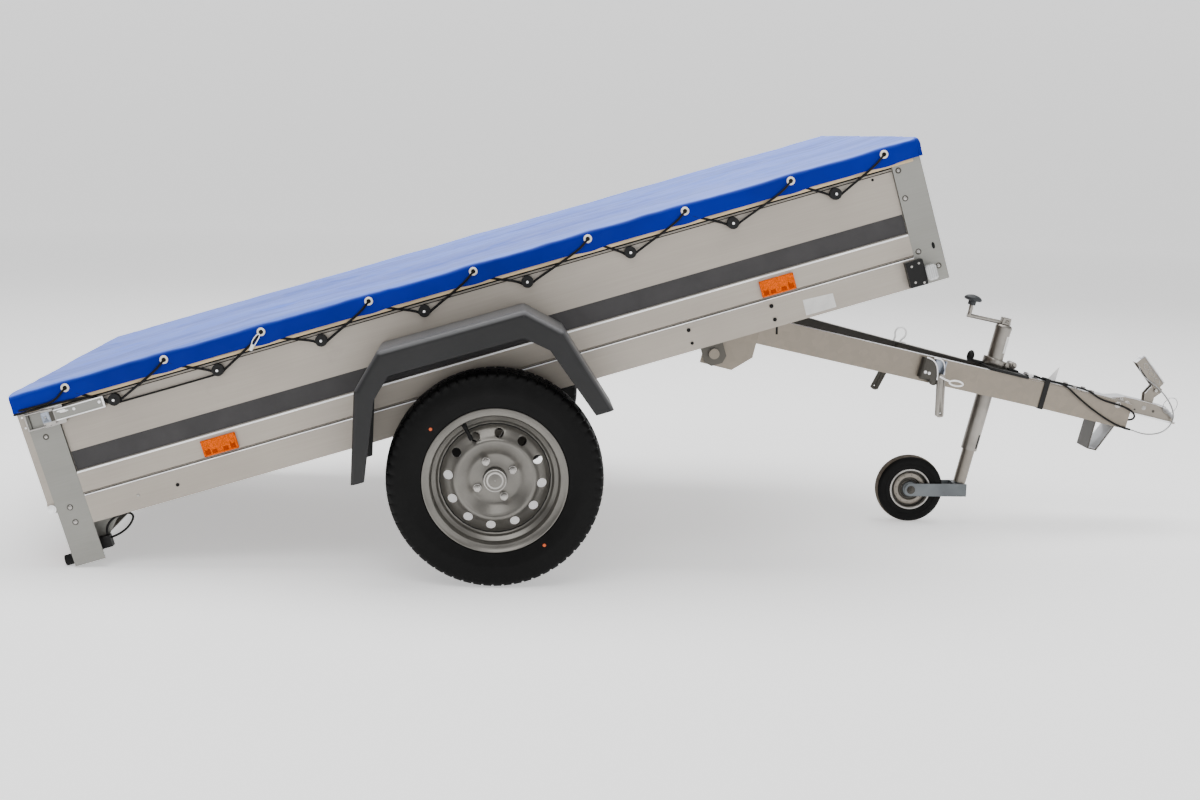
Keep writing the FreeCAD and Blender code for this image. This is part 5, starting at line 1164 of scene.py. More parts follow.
    def lacing(self, side: float) -> list[Spot]:
        """Route one side's elastic: out of each eyelet, under the knob, up behind the hem."""
        outside, stem, inside = side * (self.half + 0.0034), side * 0.6505, side * (self.half - 0.0042)
        height, hem = self.eyelet_height, self.top - self.hem
        route: list[Spot] = []
        ordered = list(reversed(self.eyelets))
        for index, eyelet in enumerate(ordered):
            if index:
                route += [(eyelet + 0.012, inside, height - 0.014),
                          (eyelet + 0.0015, inside, height - 0.0015)]
            else:
                route += [(eyelet + 0.003, side * (self.half - 0.003), height)]
            route += [(eyelet - 0.006, outside + side * 0.0012, height - 0.004)]
            if index < len(self.knobs):
                knob = list(reversed(self.knobs))[index]
                after = ordered[index + 1]
                under = self.knob_height
                route += [(eyelet - 0.03, outside, height - 0.022),
                          (knob + 0.022, stem + side * 0.003, under - 0.001),
                          (knob + 0.0085, stem, under - 0.0085), (knob - 0.001, stem, under - 0.0112),
                          (knob - 0.0095, stem, under - 0.007), (knob - 0.02, stem, under + 0.006),
                          (after + 0.026, inside + side * 0.0008, hem + 0.004)]
        last = self.eyelets[0]
        route += [(last - 0.035, outside, height - 0.026), (self.rear + 0.055, outside, hem + 0.002),
                  (self.rear + 0.012, outside, hem + 0.004),
                  (self.rear + 0.0015, side * (self.half - 0.01), hem + 0.004)]
        return route

    def build(self) -> None:
        """Build the cover, its flap, and both sides' eyelets and elastic."""
        bed = self.yard.bed()
        cloth = self.yard.hand_over(self.cloth("cover_cloth"), CLOTH, "cover_cloth", "bed", bed, ["cover"])
        flap = self.yard.hand_over(self.flap("cover_flap_cloth"), CLOTH, "cover_cloth", "tailgate", bed,
                                   ["cover_rear_flap"])
        for name, side in SIDES.items():
            self.yard.hand_over(self.hole_discs(side, f"eyelet_holes_{name}"), RUBBER, "black_rubber",
                                "bed", bed)
            self.yard.hand_over(self.rings(side, f"eyelets_{name}"), BRASS, "bright_zinc", "bed", bed)
            cord = Bench.pipe(f"cover_elastic_{name}", self.lacing(side), 0.0031)
            self.yard.hand_over(cord, ELASTIC, "black_rubber", "bed", bed)
        straight = Bench.pipe("elastic_run",
                              [(self.knobs[0], -0.6515, 0.429), (-0.74, -0.653, 0.4285),
                               (self.knobs[1], -0.6515, 0.429)], 0.0026)
        self.yard.hand_over(straight, ELASTIC, "black_rubber", "bed", bed)


FLANGE = ((-0.226, 0.3035), (0.176, 0.3035), (0.16, 0.348), (-0.205, 0.348))


@dataclass
class BodyTrim:
    """What is fixed to the walls and posts: stripe, seals, rivets, reflectors' details and blank label."""

    yard: Yard
    face: float = 0.65
    field: float = 0.642
    rear: float = -1.0215
    front: float = 1.1815
    reflectors: Flat = (-0.655, 0.825)

    def stripe(self, side: float, name: str) -> Piece:
        """Lay the dark film stripe along a side's sunk field."""
        y0, y1 = sorted((side * self.field, side * (self.field + 0.0006)))
        return Bench.block(name, (self.rear, y0, 0.2875), (self.front, y1, 0.3405))

    def seals(self, side: float, name: str) -> Piece:
        """Run the dark seal under the cover's hem and the thin dark line below it, a painted shadow under the
        wall rim's step.
        """
        y0, y1 = sorted((side * (self.face + 0.0002), side * (self.face + 0.0016)))
        seal = Bench.block("seal", (-1.02, y0, 0.4604), (1.18, y1, 0.4642), 0.0006, 1)
        return Bench.join(name,
                          [seal, Bench.block("line", (-1.02, y0, 0.454), (1.18, y1, 0.4562), 0.0003, 1)])

    def bead(self, side: float, name: str) -> Piece:
        """Run the cream bead between the wall's rim and the cover's hem."""
        y0, y1 = sorted((side * (self.face + 0.0002), side * (self.face + 0.003)))
        return Bench.block(name, (-1.092, y0, 0.4646), (1.24, y1, 0.473), 0.001, 2)

    def steps(self, side: float, name: str) -> Piece:
        """Lay painted highlights along the edges of the wall's two pressed steps."""
        pieces = []
        for low, high, inner in ((0.2234, 0.2262, self.face - 0.0002), (0.2838, 0.288, self.field + 0.0006)):
            y0, y1 = sorted((side * inner, side * (self.face + 0.0004)))
            pieces.append(Bench.block("line", (self.rear, y0, low), (self.front, y1, high)))
        return Bench.join(name, pieces)

    def groove(self, side: float, name: str) -> Piece:
        """Lay the shadow of the seam between the wall's bottom band and the next."""
        y0, y1 = sorted((side * (self.face - 0.0002), side * (self.face + 0.0002)))
        return Bench.block(name, (self.rear, y0, 0.2264), (self.front, y1, 0.2282))

    def fixings(self, side: float, name: str) -> Piece:
        """Set the dark bolts and rivets into a side's bands."""
        pieces = []
        face = side * self.face
        for x, z, radius in ((0.575, 0.206, 0.005), (0.575, 0.171, 0.004), (0.796, 0.207, 0.0055),
                             (0.796, 0.171, 0.005), (-0.789, 0.185, 0.0045), (0.06, 0.171, 0.004),
                             (0.184, 0.171, 0.004)):
            pieces.append(Bench.bar("bolt", radius, (x, face, z), (x, face + side * 0.0032, z), 20, 0.0012))
            pieces.append(Bench.bar("recess", radius * 0.45, (x, face + side * 0.002, z),
                                    (x, face + side * 0.0036, z), 6))
        return Bench.join(name, pieces)

    def rivets(self, side: float, name: str) -> Piece:
        """Set the bright rivets and bolts into the corner posts and the legs."""
        face = side * self.face
        return Bench.join(
            name,
            [Bench.ball("head", radius, (x, face + side * 0.0002, z), DOMED, 8)
             for x, z, radius in ((1.197, 0.379, 0.0055), (1.197, 0.238, 0.0055), (1.239, 0.189, 0.005),
                                  (-0.893, 0.187, 0.004), (-1.067, 0.205, 0.0062), (-1.066, 0.165, 0.0062),
                                  (-1.067, 0.395, 0.0045), (1.197, 0.452, 0.0045))])

    def rivet_rims(self, side: float, name: str) -> Piece:
        """Lay a painted shadow, a thin dark disc, round each rivet of the corner posts."""
        face = side * self.face
        rims = [Bench.bar("rim", 0.0078, (x, face, z), (x, face + side * 0.0006, z), 20)
                for x, z in ((1.197, 0.379), (1.197, 0.238), (1.239, 0.189), (-1.067, 0.205),
                             (-1.066, 0.165), (-1.067, 0.395), (1.197, 0.452))]
        return Bench.join(name, rims)

    def holes(self, side: float, name: str) -> Piece:
        """Set the dark slots into the front posts and the wall's corner hole."""
        face = side * (self.face + 0.0002)
        pieces = []
        for x, z, wide, tall in ((1.238, 0.243, 0.0042, 0.009), (1.129, 0.446, 0.0036, 0.0036)):
            flat = face if x > 1.2 else side * (self.field + 0.0002)
            pieces.append(Bench.ball("slot", 1.0, (x, flat, z), (wide, 0.0004, tall), 8))
        return Bench.join(name, pieces)

    def reflector_rims(self, side: float, name: str) -> Piece:
        """Frame the orange reflectors: a raised rim, a bar across and two screws each."""
        pieces = []
        outer = side * 0.6573
        for place in self.reflectors:
            for x0, x1, z0, z1 in ((-0.045, 0.045, 0.2725, 0.2755), (-0.045, 0.045, 0.2345, 0.2375),
                                   (-0.045, -0.0415, 0.2345, 0.2755), (0.0415, 0.045, 0.2345, 0.2755),
                                   (-0.0015, 0.0015, 0.236, 0.274)):
                y0, y1 = sorted((outer, outer + side * 0.0014))
                pieces.append(Bench.block("rim", (place + x0, y0, z0), (place + x1, y1, z1), 0.0005, 1))
            for x in (-0.0345, 0.0345):
                pieces.append(Bench.bar("boss", 0.005, (place + x, outer, 0.255),
                                        (place + x, outer + side * 0.0016, 0.255), 16, 0.0005))
        return Bench.join(name, pieces)

    def reflector_cells(self, side: float, name: str) -> Piece:
        """Press the darker cells along the foot of each reflector."""
        pieces = []
        y0, y1 = sorted((side * 0.6572, side * 0.658))
        for place in self.reflectors:
            for x, low, high in ((-0.033, 0.2385, 0.252), (-0.015, 0.2385, 0.248), (0.014, 0.2385, 0.248),
                                 (0.033, 0.2385, 0.256)):
                pieces.append(Bench.block("cell", (place + x - 0.0065, y0, low),
                                          (place + x + 0.0065, y1, high), 0.0003, 1))
        return Bench.join(name, pieces)

    def guard_flange(self, side: float, name: str) -> Piece:
        """Hang the guard's black inner flange against the wall, below its outer edge."""
        return Bench.plate(name, [(x, side * 0.6506, z) for x, z in FLANGE], (0.0, side * 0.0022, 0.0),
                           0.0008)

    def label(self) -> Piece:
        """Stick the blank pale label on the right side's bottom band."""
        outline = []
        for x, z in ((0.877, 0.1585), (0.9575, 0.1585), (0.957, 0.1955), (0.878, 0.1995)):
            outline.append((x, -self.face - 0.0002, z))
        return Bench.plate("blank_side_label", outline, (0.0, -0.0005, 0.0))

    def lamp_details(self, side: float, name: str) -> Piece:
        """Add the marker lamp's bright screws."""
        outer = side * (self.face + 0.0223)
        return Bench.join(
            name,
            [Bench.bar("screw", 0.0032, (x, outer, z), (x, outer + side * 0.0012, z), 14, 0.0005)
             for x, z in ((1.166, 0.208), (1.166, 0.166), (1.186, 0.212), (1.188, 0.16))])

    def build(self) -> None:
        """Build the trim of both sides."""
        bed = self.yard.bed()
        makers = (("side_stripe", self.stripe, STRIPE, "black_plastic"),
                  ("rim_seal", self.seals, RUBBER, "black_rubber"),
                  ("rim_bead", self.bead, BEAD, "black_rubber"),
                  ("panel_steps", self.steps, PAINTED_HIGHLIGHT, "zinc_sheet"),
                  ("panel_seam", self.groove, RUBBER, "black_rubber"),
                  ("side_bolts", self.fixings, RUBBER, "black_plastic"),
                  ("post_rivets", self.rivets, PLATED, "bright_zinc"),
                  ("rivet_rims", self.rivet_rims, SHADE, "zinc_sheet"),
                  ("post_slots", self.holes, RUBBER, "black_plastic"),
                  ("reflector_rims", self.reflector_rims, ORANGE, "orange_reflector"),
                  ("reflector_cells", self.reflector_cells, CELL, "orange_reflector"),
                  ("guard_flange", self.guard_flange, RUBBER, "black_plastic"),
                  ("marker_screws", self.lamp_details, PLATED, "bright_zinc"))
        for name, side in SIDES.items():
            for label, make, finish, slot in makers:
                self.yard.hand_over(make(side, f"{label}_{name}"), finish, slot, "bed", bed)
        self.yard.hand_over(self.label(), BLANK, "zinc_sheet", "bed", bed)


@dataclass
class BarTrim:
    """What is fixed to the drawbar's beams: bolts with washers, and the near beam's slot."""

    yard: Yard

    def build(self) -> None:
        """Build the drawbar's trim."""
        bar = self.yard.bar()
        self.yard.hand_over(self.bolts(), PLATED, "bright_zinc", "drawbar", bar)
        slot = Bench.plate("beam_slot",
                           [(-0.219, -0.2687, -0.039), (-0.213, -0.2673, -0.0375),
                            (-0.2185, -0.2686, -0.0165), (-0.2245, -0.27, -0.018)], (0.0, -0.0008, 0.0))
        self.yard.hand_over(slot, RUBBER, "black_rubber", "drawbar", bar)

    def bolts(self) -> Piece:
        """Set the hexagon bolts into the tie plate, the beams and the coupling."""
        pieces = []
        for s, y in ((0.61, 0.045), (0.61, -0.045), (0.735, 0.042), (0.735, -0.042), (0.79, 0.038),
                     (0.79, -0.038), (0.885, 0.036), (0.885, -0.036)):
            pieces.append(Bench.bar("washer", 0.01, (s, y, 0.0042), (s, y, 0.0058), 20, 0.0004))
            pieces.append(Bench.bar("head", 0.0078, (s, y, 0.0056), (s, y, 0.0112), 6, 0.0008))
        return Bench.join("drawbar_bolts", pieces)


@dataclass
class Cords:
    """The lamps' cable and the steel safety cable on the drawbar, and the rear lamp's lead.

    Each route's points are the part's own, in metres: along, across and above
    the drawbar's top face, or in the level bed's frame for the lamp's lead.
    """

    yard: Yard
    cable: float = 0.006
    wire: float = 0.004
    drawbar_route: tuple[Spot, ...] = (
        (0.5736, -0.049, 0.0058), (0.5875, -0.0495, 0.0108), (0.605, -0.049, 0.013),
        (0.623, -0.0475, 0.0096), (0.642, -0.045, 0.008), (0.664, -0.037, 0.0082), (0.688, -0.026, 0.0089),
        (0.712, -0.023, 0.0086), (0.736, -0.033, 0.0089), (0.758, -0.051, 0.0105), (0.78, -0.0655, 0.007),
        (0.803, -0.063, -0.0035), (0.83, -0.06, -0.0085), (0.858, -0.0585, -0.0095),
        (0.884, -0.058, -0.011), (0.907, -0.0575, -0.015), (0.926, -0.0565, -0.0225),
        (0.935, -0.0525, -0.035), (0.929, -0.0455, -0.0455), (0.913, -0.04, -0.0495),
        (0.897, -0.0385, -0.05))
    safety_route: tuple[Spot, ...] = (
        (0.5736, -0.061, 0.0058), (0.5875, -0.0615, 0.0106), (0.605, -0.061, 0.012),
        (0.623, -0.059, 0.0092), (0.642, -0.056, 0.008), (0.664, -0.056, 0.0086), (0.686, -0.062, 0.0095),
        (0.706, -0.069, 0.0045), (0.725, -0.0695, -0.0065), (0.747, -0.068, -0.018),
        (0.771, -0.0665, -0.0295), (0.798, -0.065, -0.0415), (0.827, -0.063, -0.0525),
        (0.855, -0.0615, -0.062), (0.881, -0.0595, -0.069), (0.903, -0.0575, -0.073),
        (0.92, -0.0555, -0.0735))
    wire_route: tuple[Spot, ...] = (
        (0.9203, -0.0555, -0.0735), (0.936, -0.0535, -0.074), (0.956, -0.051, -0.0765),
        (0.981, -0.049, -0.077), (1.007, -0.0485, -0.071), (1.031, -0.0485, -0.0585),
        (1.047, -0.0485, -0.038), (1.053, -0.048, -0.014), (1.048, -0.044, 0.008), (1.037, -0.038, 0.026),
        (1.022, -0.0305, 0.043), (1.003, -0.0235, 0.058), (0.985, -0.021, 0.0685), (0.967, -0.0205, 0.0765),
        (0.95, -0.018, 0.0835), (0.9365, -0.0125, 0.092), (0.925, -0.0095, 0.105),
        (0.9149, -0.0085, 0.1268))
    lead_route: tuple[Spot, ...] = (
        (-1.0014, -0.614, 0.096), (-0.985, -0.6145, 0.0975), (-0.967, -0.6155, 0.1025),
        (-0.95, -0.6165, 0.111), (-0.936, -0.6175, 0.123), (-0.9285, -0.618, 0.1355),
        (-0.9365, -0.617, 0.1455), (-0.952, -0.6165, 0.1468), (-0.968, -0.616, 0.1455),
        (-0.983, -0.6155, 0.1415), (-0.996, -0.615, 0.1335), (-1.0045, -0.6145, 0.1225),
        (-1.0085, -0.614, 0.112), (-1.009, -0.614, 0.1045))

    def line(self, name: str, route: Sequence[Spot], thick: float, place: Matrix) -> Piece:
        """Draw one cord as a smooth round curve.

        Args:
            name: The cord's name.
            route: Its control points, in its own frame.
            thick: Its thickness.
            place: The matrix from that frame to where it lies.

        Returns:
            The curve.
        """
        Bench.clear()
        curve = bpy.data.curves.new(name, "CURVE")
        curve.dimensions = "3D"
        curve.resolution_u = 8
        curve.bevel_depth = thick / 2
        curve.bevel_resolution = 3
        curve.use_fill_caps = True
        spline = curve.splines.new("NURBS")
        spline.points.add(len(route) - 1)
        for knot, spot in zip(spline.points, route):
            knot.co = (*(place @ Vector(spot)), 1.0)
        spline.order_u = 3
        spline.use_endpoint_u = True
        made = bpy.data.objects.new(name, curve)
        bpy.context.scene.collection.objects.link(made)
        return made

    def lay(self, name: str, route: Sequence[Spot], thick: float, place: Matrix, length: float, body: str,
            node: str, dress_with: tuple[Finish, str], far_end: str = "object",
            pieces: Sequence[Piece] = ()) -> None:
        """Draw a cord and let it ride."""
        cord = self.yard.hand_over(self.line(name, route, thick, place), *dress_with, body, None, [node])

    def ferrule(self) -> Piece:
        """Crimp the sleeve where the steel wire leaves the cable's black cover."""
        start, end = Vector(self.safety_route[-1]), Vector(self.wire_route[1])
        ahead = (end - start).normalized()
        sleeve = Bench.bar("sleeve", 0.0036, tuple(start - ahead * 0.01), tuple(start + ahead * 0.004), 20,
                           0.0008)
        grip = Bench.bar("grip", 0.0031, tuple(start + ahead * 0.0036), tuple(start + ahead * 0.011), 20,
                         0.0008)
        return Bench.join("safety_ferrule", [sleeve, grip])

    def build(self) -> None:
        """Lay all four cords."""
        bar, bed = self.yard.bar(), self.yard.bed()
        sleeve = self.yard.hand_over(self.ferrule(), RUBBER, "black_rubber", "drawbar", bar)
        black, bright = (CABLE, "black_rubber"), (STEEL, "bright_zinc")
        self.lay("lamp_cable", self.drawbar_route, self.cable, bar, 0.4345, "drawbar", "drawbar_cable", black)
        self.lay("safety_cable_cover", self.safety_route, self.cable, bar, 0.366, "drawbar", "safety_cable",
                 black, "fitting", [sleeve])
        self.lay("safety_steel_wire", self.wire_route, self.wire, bar, 0.3753, "drawbar", "safety_wire",
                 bright)
        self.lay("rear_lamp_lead", self.lead_route, self.cable, bed, 0.1924, "bed", "lamp_lead", black)


@dataclass
class RearTrim:
    """What the rear corners show: latch, rivets, catch plate, hinge bolt, knob screws and hem strand."""

    yard: Yard
    face: float = 0.65
    outer: float = 0.6643

    @staticmethod
    def strip(name: str, side: float, box: tuple[float, float, float, float], low: float, high: float,
              edge: float = 0.0004) -> Piece:
        """Make a thin block on a side.

        Args:
            name: The block's name.
            side: 1 for the left side, -1 for the right one.
            box: Its first and last place along the bed, then its lowest and highest.
            low: Its inner distance from the middle.
            high: Its outer distance.
            edge: The width of its rounded edges.

        Returns:
            The piece.
        """
        y0, y1 = sorted((side * low, side * high))
        return Bench.block(name, (box[0], y0, box[2]), (box[1], y1, box[3]), edge, 1)

    def bright(self, side: float, name: str) -> Piece:
        """Fold the latch's bright lips and cap, and press its tongue and rivets, all painted highlights."""
        lever = [(-1.0235, -0.8985, 0.4543, 0.4572), (-1.0235, -0.8985, 0.4278, 0.4308),
                 (-0.9005, -0.896, 0.4278, 0.4572)]
        pieces = [self.strip("strip", side, box, self.outer - 0.001, self.outer + 0.0016) for box in lever]
        frame = [(-1.094, -1.056, 0.4206, 0.4232), (-1.096, -1.012, 0.4636, 0.4656)]
        pieces += [self.strip("strip", side, box, self.face + 0.002, self.face + 0.005) for box in frame]
        for x, z, radius in ((-0.9081, 0.4448, 0.004), (-0.9736, 0.4456, 0.004), (-1.1046, 0.4593, 0.0028),
                             (-1.1039, 0.4316, 0.0028)):
            pieces.append(Bench.ball("rivet", radius, (x, side * self.outer, z), DOMED, 8))
        for x, z in ((-1.006, 0.45), (-0.999, 0.4465)):
            pieces.append(Bench.ball("tongue", 1.0, (x, side * self.outer, z), (0.012, 0.0016, 0.0022), 8))
        pieces.append(Bench.ball("hinge", 0.0092, (-1.113, side * 0.652, 0.212), (1.0, 0.45, 1.0), 12))
        pieces.append(Bench.bar("washer", 0.012, (-1.113, side * 0.65, 0.212),
                                (-1.113, side * 0.6515, 0.212), 24, 0.0004))
        return Bench.join(name, pieces)

    def channel(self, side: float, name: str) -> Piece:
        """Lay the latch channel's dull floor."""
        return self.strip(name, side, (-1.024, -0.9, 0.4306, 0.4545), self.outer - 0.0004,
                          self.outer + 0.0003, 0.0001)

    def plates(self, side: float, name: str) -> Piece:
        """Make the toggle's front plate."""
        made = self.strip(name, side, (-1.058, -1.0372, 0.43, 0.4576), self.outer - 0.001,
                          self.outer + 0.0018, 0.0008)
        Bench.cut(made,
                  Bench.bar("hole", 0.0024, (-1.049, side * 0.65, 0.444), (-1.049, side * 0.68, 0.444), 16))
        return made

    def shadows(self, side: float, name: str) -> Piece:
        """Lay the dark strip beside the toggle and the one in the catch's corner: painted shade."""
        pieces = [
            self.strip("strip", side, (-1.0366, -1.0262, 0.43, 0.4558), self.outer - 0.0002,
                       self.outer + 0.0008),
            self.strip("strip", side, (-1.0928, -1.0906, 0.4232, 0.4636), self.face + 0.001,
                       self.face + 0.004)]
        return Bench.join(name, pieces)

    def screws(self, side: float, name: str) -> Piece:
        """Set the pale screw into the middle of each lacing knob."""
        cover = Cover(self.yard)
        return Bench.join(
            name,
            [Bench.ball("screw", 0.0034, (place, side * 0.6664, cover.knob_height), (1.0, 0.3, 1.0), 8)
             for place in cover.knobs])

    def strands(self, side: float, name: str) -> Piece:
        """Run the strand round the rear corner below the hem and on to the first knob."""
        corner = [(-1.1258, side * 0.63, 0.47), (-1.1262, side * 0.648, 0.4698), (-1.1215, side * 0.66, 0.47)]
        low = corner + [
            (-1.09, side * 0.6622, 0.47), (-1.03, side * 0.6616, 0.4704), (-0.98, side * 0.66, 0.469),
            (-0.93, side * 0.658, 0.464), (-0.9, side * 0.655, 0.448), (-0.888, side * 0.653, 0.433),
            (-0.875, side * 0.652, 0.427)]
        return Bench.pipe(name, low, 0.0028)

    def clip(self, side: float, name: str) -> Piece:
        """Bend the wire clip that hangs from the third eyelet, with its crimp."""
        y = side * 0.663
        loop = [(-0.472, y, 0.499), (-0.48, y, 0.499), (-0.495, y, 0.487), (-0.501, y, 0.476),
                (-0.504, y, 0.47), (-0.496, y, 0.471), (-0.488, y, 0.479), (-0.474, y, 0.492)]
        crimp = Bench.bar("crimp", 0.0052, (-0.496, y, 0.477), (-0.5065, y, 0.465), 14, 0.001, 0.0044)
        return Bench.join(name, [Bench.pipe("loop", loop, 0.0013, True), crimp])

    def build(self) -> None:
        """Build both rear corners' trim."""
        bed = self.yard.bed()
        # The latch's bright pieces, the knob screws and the clip wear the glowing white finish: painted
        # highlights; the latch's dark strips wear the shaded finish: painted shade.
        makers = (("latch_edges", self.bright, PAINTED_HIGHLIGHT, "bright_zinc"),
                  ("latch_channel", self.channel, POST_ZINC, "bright_zinc"),
                  ("latch_toggle", self.plates, BLUISH, "bright_zinc"),
                  ("latch_joints", self.shadows, SHADE, "bright_zinc"),
                  ("knob_screws", self.screws, PAINTED_HIGHLIGHT, "bright_zinc"),
                  ("corner_strand", self.strands, ELASTIC, "black_rubber"))
        for name, side in SIDES.items():
            for label, make, finish, slot in makers:
                self.yard.hand_over(make(side, f"{label}_{name}"), finish, slot, "bed", bed)
        self.yard.hand_over(self.clip(-1.0, "elastic_clip"), PAINTED_HIGHLIGHT, "bright_zinc", "bed", bed)


@dataclass
class Jockey:
    """The jockey wheel's looks: ribbed tyre, dished hub, nuts, slot, label, head, knob and clamp.

    It is laid out in the drawbar's frame: along it, across it and above its top face.
    """

    yard: Yard
    along: float = 0.49
    axle: Flat = (0.34384, -0.40974)
    crank: Flat = (0.3762, 0.1675)

    @staticmethod
    def mirrored(half: Sequence[Flat]) -> list[Flat]:
        """Close a half section given from its inner end to its outer end, by mirroring it."""
        return list(half) + [(-y, r) for y, r in reversed(half)]

    def tyre(self, name: str) -> Piece:
        """Turn the solid rubber tyre: stepped side walls and a ribbed tread in a paler brown-grey."""
        half = [(0.015, 0.0605), (0.0212, 0.0612), (0.0228, 0.064), (0.024, 0.069), (0.0246, 0.0745),
                (0.024, 0.0752), (0.0242, 0.0765), (0.0248, 0.0772), (0.0249, 0.084), (0.0242, 0.089),
                (0.0228, 0.0925), (0.0206, 0.0955), (0.0182, 0.0975), (0.0166, 0.0984), (0.016, 0.0976),
                (0.0148, 0.0976), (0.0142, 0.099), (0.011, 0.0995), (0.0104, 0.0984), (0.0092, 0.0984),
                (0.0086, 0.0997), (0.005, 0.1), (0.0044, 0.0988), (0.0032, 0.0988), (0.0026, 0.1)]
        made = Bench.turned(name, self.mirrored(half), 84)
        finishes = (TYRE, PALE_TREAD)
        for finish in finishes:
            made.data.materials.append(finish.material())
        for face in made.data.polygons:
            middle = face.center
            if abs(middle.y) < 0.0185 and math.hypot(middle.x, middle.z) > 0.095:
                face.material_index = finishes.index(PALE_TREAD)
        Bench.smooth(made, 36.0)
        return made

    def hub(self, name: str) -> Piece:
        """Turn the pressed hub: bright rim, deep ring, raised disc and boss, its sunk rings painted dark as
        shade.
        """
        half = [(0.0228, 0.0085), (0.0245, 0.0098), (0.0245, 0.0195), (0.0236, 0.0215), (0.015, 0.0238),
                (0.011, 0.0262), (0.009, 0.0285), (0.009, 0.0318), (0.0118, 0.0334), (0.0136, 0.0352),
                (0.014, 0.04), (0.0134, 0.0462), (0.0118, 0.0482), (0.008, 0.0492), (0.0078, 0.0522),
                (0.012, 0.0536), (0.0196, 0.0546), (0.0222, 0.0556), (0.0236, 0.0574), (0.0238, 0.0596),
                (0.0228, 0.0612), (0.0205, 0.0614)]
        made = Bench.turned(name, self.mirrored(half), 72)
        finishes = (PLATED, FORK, SHADE, LEG)
        for finish in finishes:
            made.data.materials.append(finish.material())
        for face in made.data.polygons:
            reach = math.hypot(face.center.x, face.center.z)
            # The two sunk rings wear the shaded finish: painted shade.
            if 0.0478 < reach < 0.054 or 0.0255 < reach < 0.033:
                face.material_index = finishes.index(SHADE)
            elif 0.033 <= reach <= 0.0478:
                face.material_index = finishes.index(LEG)
            elif reach < 0.024:
                face.material_index = finishes.index(FORK)
        Bench.smooth(made, 38.0)
        return made

    def spots(self, name: str) -> Piece:
        """Press the ring of small weld marks into the hub's raised disc."""
        pieces = []
        for index in range(12):
            turn = math.radians(30.0 * index + 6.0)
            x, z = 0.0412 * math.cos(turn), 0.0412 * math.sin(turn)
            for side in (-1.0, 1.0):
                pieces.append(Bench.ball("mark", 0.0016, (x, side * 0.0138, z), DOMED, 5))
        return Bench.join(name, pieces)

    def nuts(self, name: str) -> Piece:
        """Fit the axle's washers, nuts and thread ends on the fork's outer faces."""
        pieces = []
        x, z = self.axle
        for side in (-1.0, 1.0):
            for label, radius, low, high, sides, edge in (("washer", 0.0125, 0.034, 0.0358, 28, 0.0005),
                                                          ("nut", 0.0098, 0.0357, 0.0425, 6, 0.001),
                                                          ("thread", 0.0048, 0.042, 0.0455, 16, 0.0008)):
                pieces.append(Bench.bar(label, radius, (x, side * low, z), (x, side * high, z), sides, edge))
        return Bench.join(name, pieces)

    def arc(self, reach: float, start: float, end: float, steps: int) -> list[Flat]:
        """Give points along an arc about the tube, in degrees from ahead, turning to the right side."""
        spots = []
        for turn in Cover.spread(math.radians(start), math.radians(end), steps):
            spots.append((self.along + reach * math.cos(turn), -reach * math.sin(turn)))
        return spots

    def wrap(self, name: str, start: float, end: float, low: float, high: float, reach: float,
             thick: float) -> Piece:
        """Wrap a thin curved plate round the tube.

        Args:
            name: The piece's name.
            start: Its first angle in degrees from ahead, turning to the right side.
            end: Its last angle.
            low: Its bottom, above the beams' top.
            high: Its top.
            reach: Its inner radius.
            thick: Its thickness.

        Returns:
            The piece.
        """
        outline = self.arc(reach + thick, start, end, 12) + list(reversed(self.arc(reach, start, end, 12)))
        made = Bench.plate(name, [(x, y, low) for x, y in outline], (0.0, 0.0, high - low))
        Bench.smooth(made, 30.0)
        return made

    def cap(self, name: str) -> Piece:
        """Turn the tube's rolled shoulder and set the crank's folded head on it."""
        section = [(0.1195, 0.0241), (0.1195, 0.0246), (0.124, 0.025), (0.1285, 0.0246), (0.1318, 0.0226),
                   (0.1345, 0.0192), (0.1352, 0.015), (0.1352, 0.0125), (0.133, 0.0125), (0.13, 0.02),
                   (0.125, 0.0236)]
        made = Bench.turned("shoulder", section, 48)
        Bench.stand(made, (self.along, 0.0, 0.0))
        Bench.smooth(made, 40.0)
        head = Bench.block("head", (self.along - 0.0135, -0.0128, 0.135),
                           (self.along + 0.013, 0.0128, 0.1562), 0.0022, 3)
        Bench.cut(head,
                  Bench.bar("hole", 0.0032, (self.along + 0.002, -0.03, 0.1455),
                            (self.along + 0.002, 0.03, 0.1455), 18))
        lip = Bench.block("lip", (self.along + 0.006, -0.0136, 0.1372),
                          (self.along + 0.0138, 0.0136, 0.142), 0.001, 2)
        return Bench.join(name, [made, head, lip])

    def knob(self, name: str) -> Piece:
        """Turn the crank's mushroom knob with its neck."""
        s, low = self.crank
        section = [(0.0, 0.006), (0.0, 0.0108), (0.0018, 0.0116), (0.0118, 0.0118), (0.0128, 0.016),
                   (0.0132, 0.0215), (0.0148, 0.0252), (0.0176, 0.0266), (0.0212, 0.0262), (0.0246, 0.0232),
                   (0.0276, 0.0182), (0.03, 0.0112), (0.0312, 0.004), (0.0314, 0.0008), (0.025, 0.0008),
                   (0.005, 0.005)]
        made = Bench.turned(name, section, 40)
        Bench.stand(made, (s, 0.0, low))
        Bench.smooth(made, 42.0)
        return made

    def pin(self, name: str) -> Piece:
        """Stand the crank's bright pin under the knob."""
        s, low = self.crank
        return Bench.bar(name, 0.0058, (s + 0.0012, 0.0, low - 0.02), (s, 0.0, low + 0.006), 24, 0.0008)

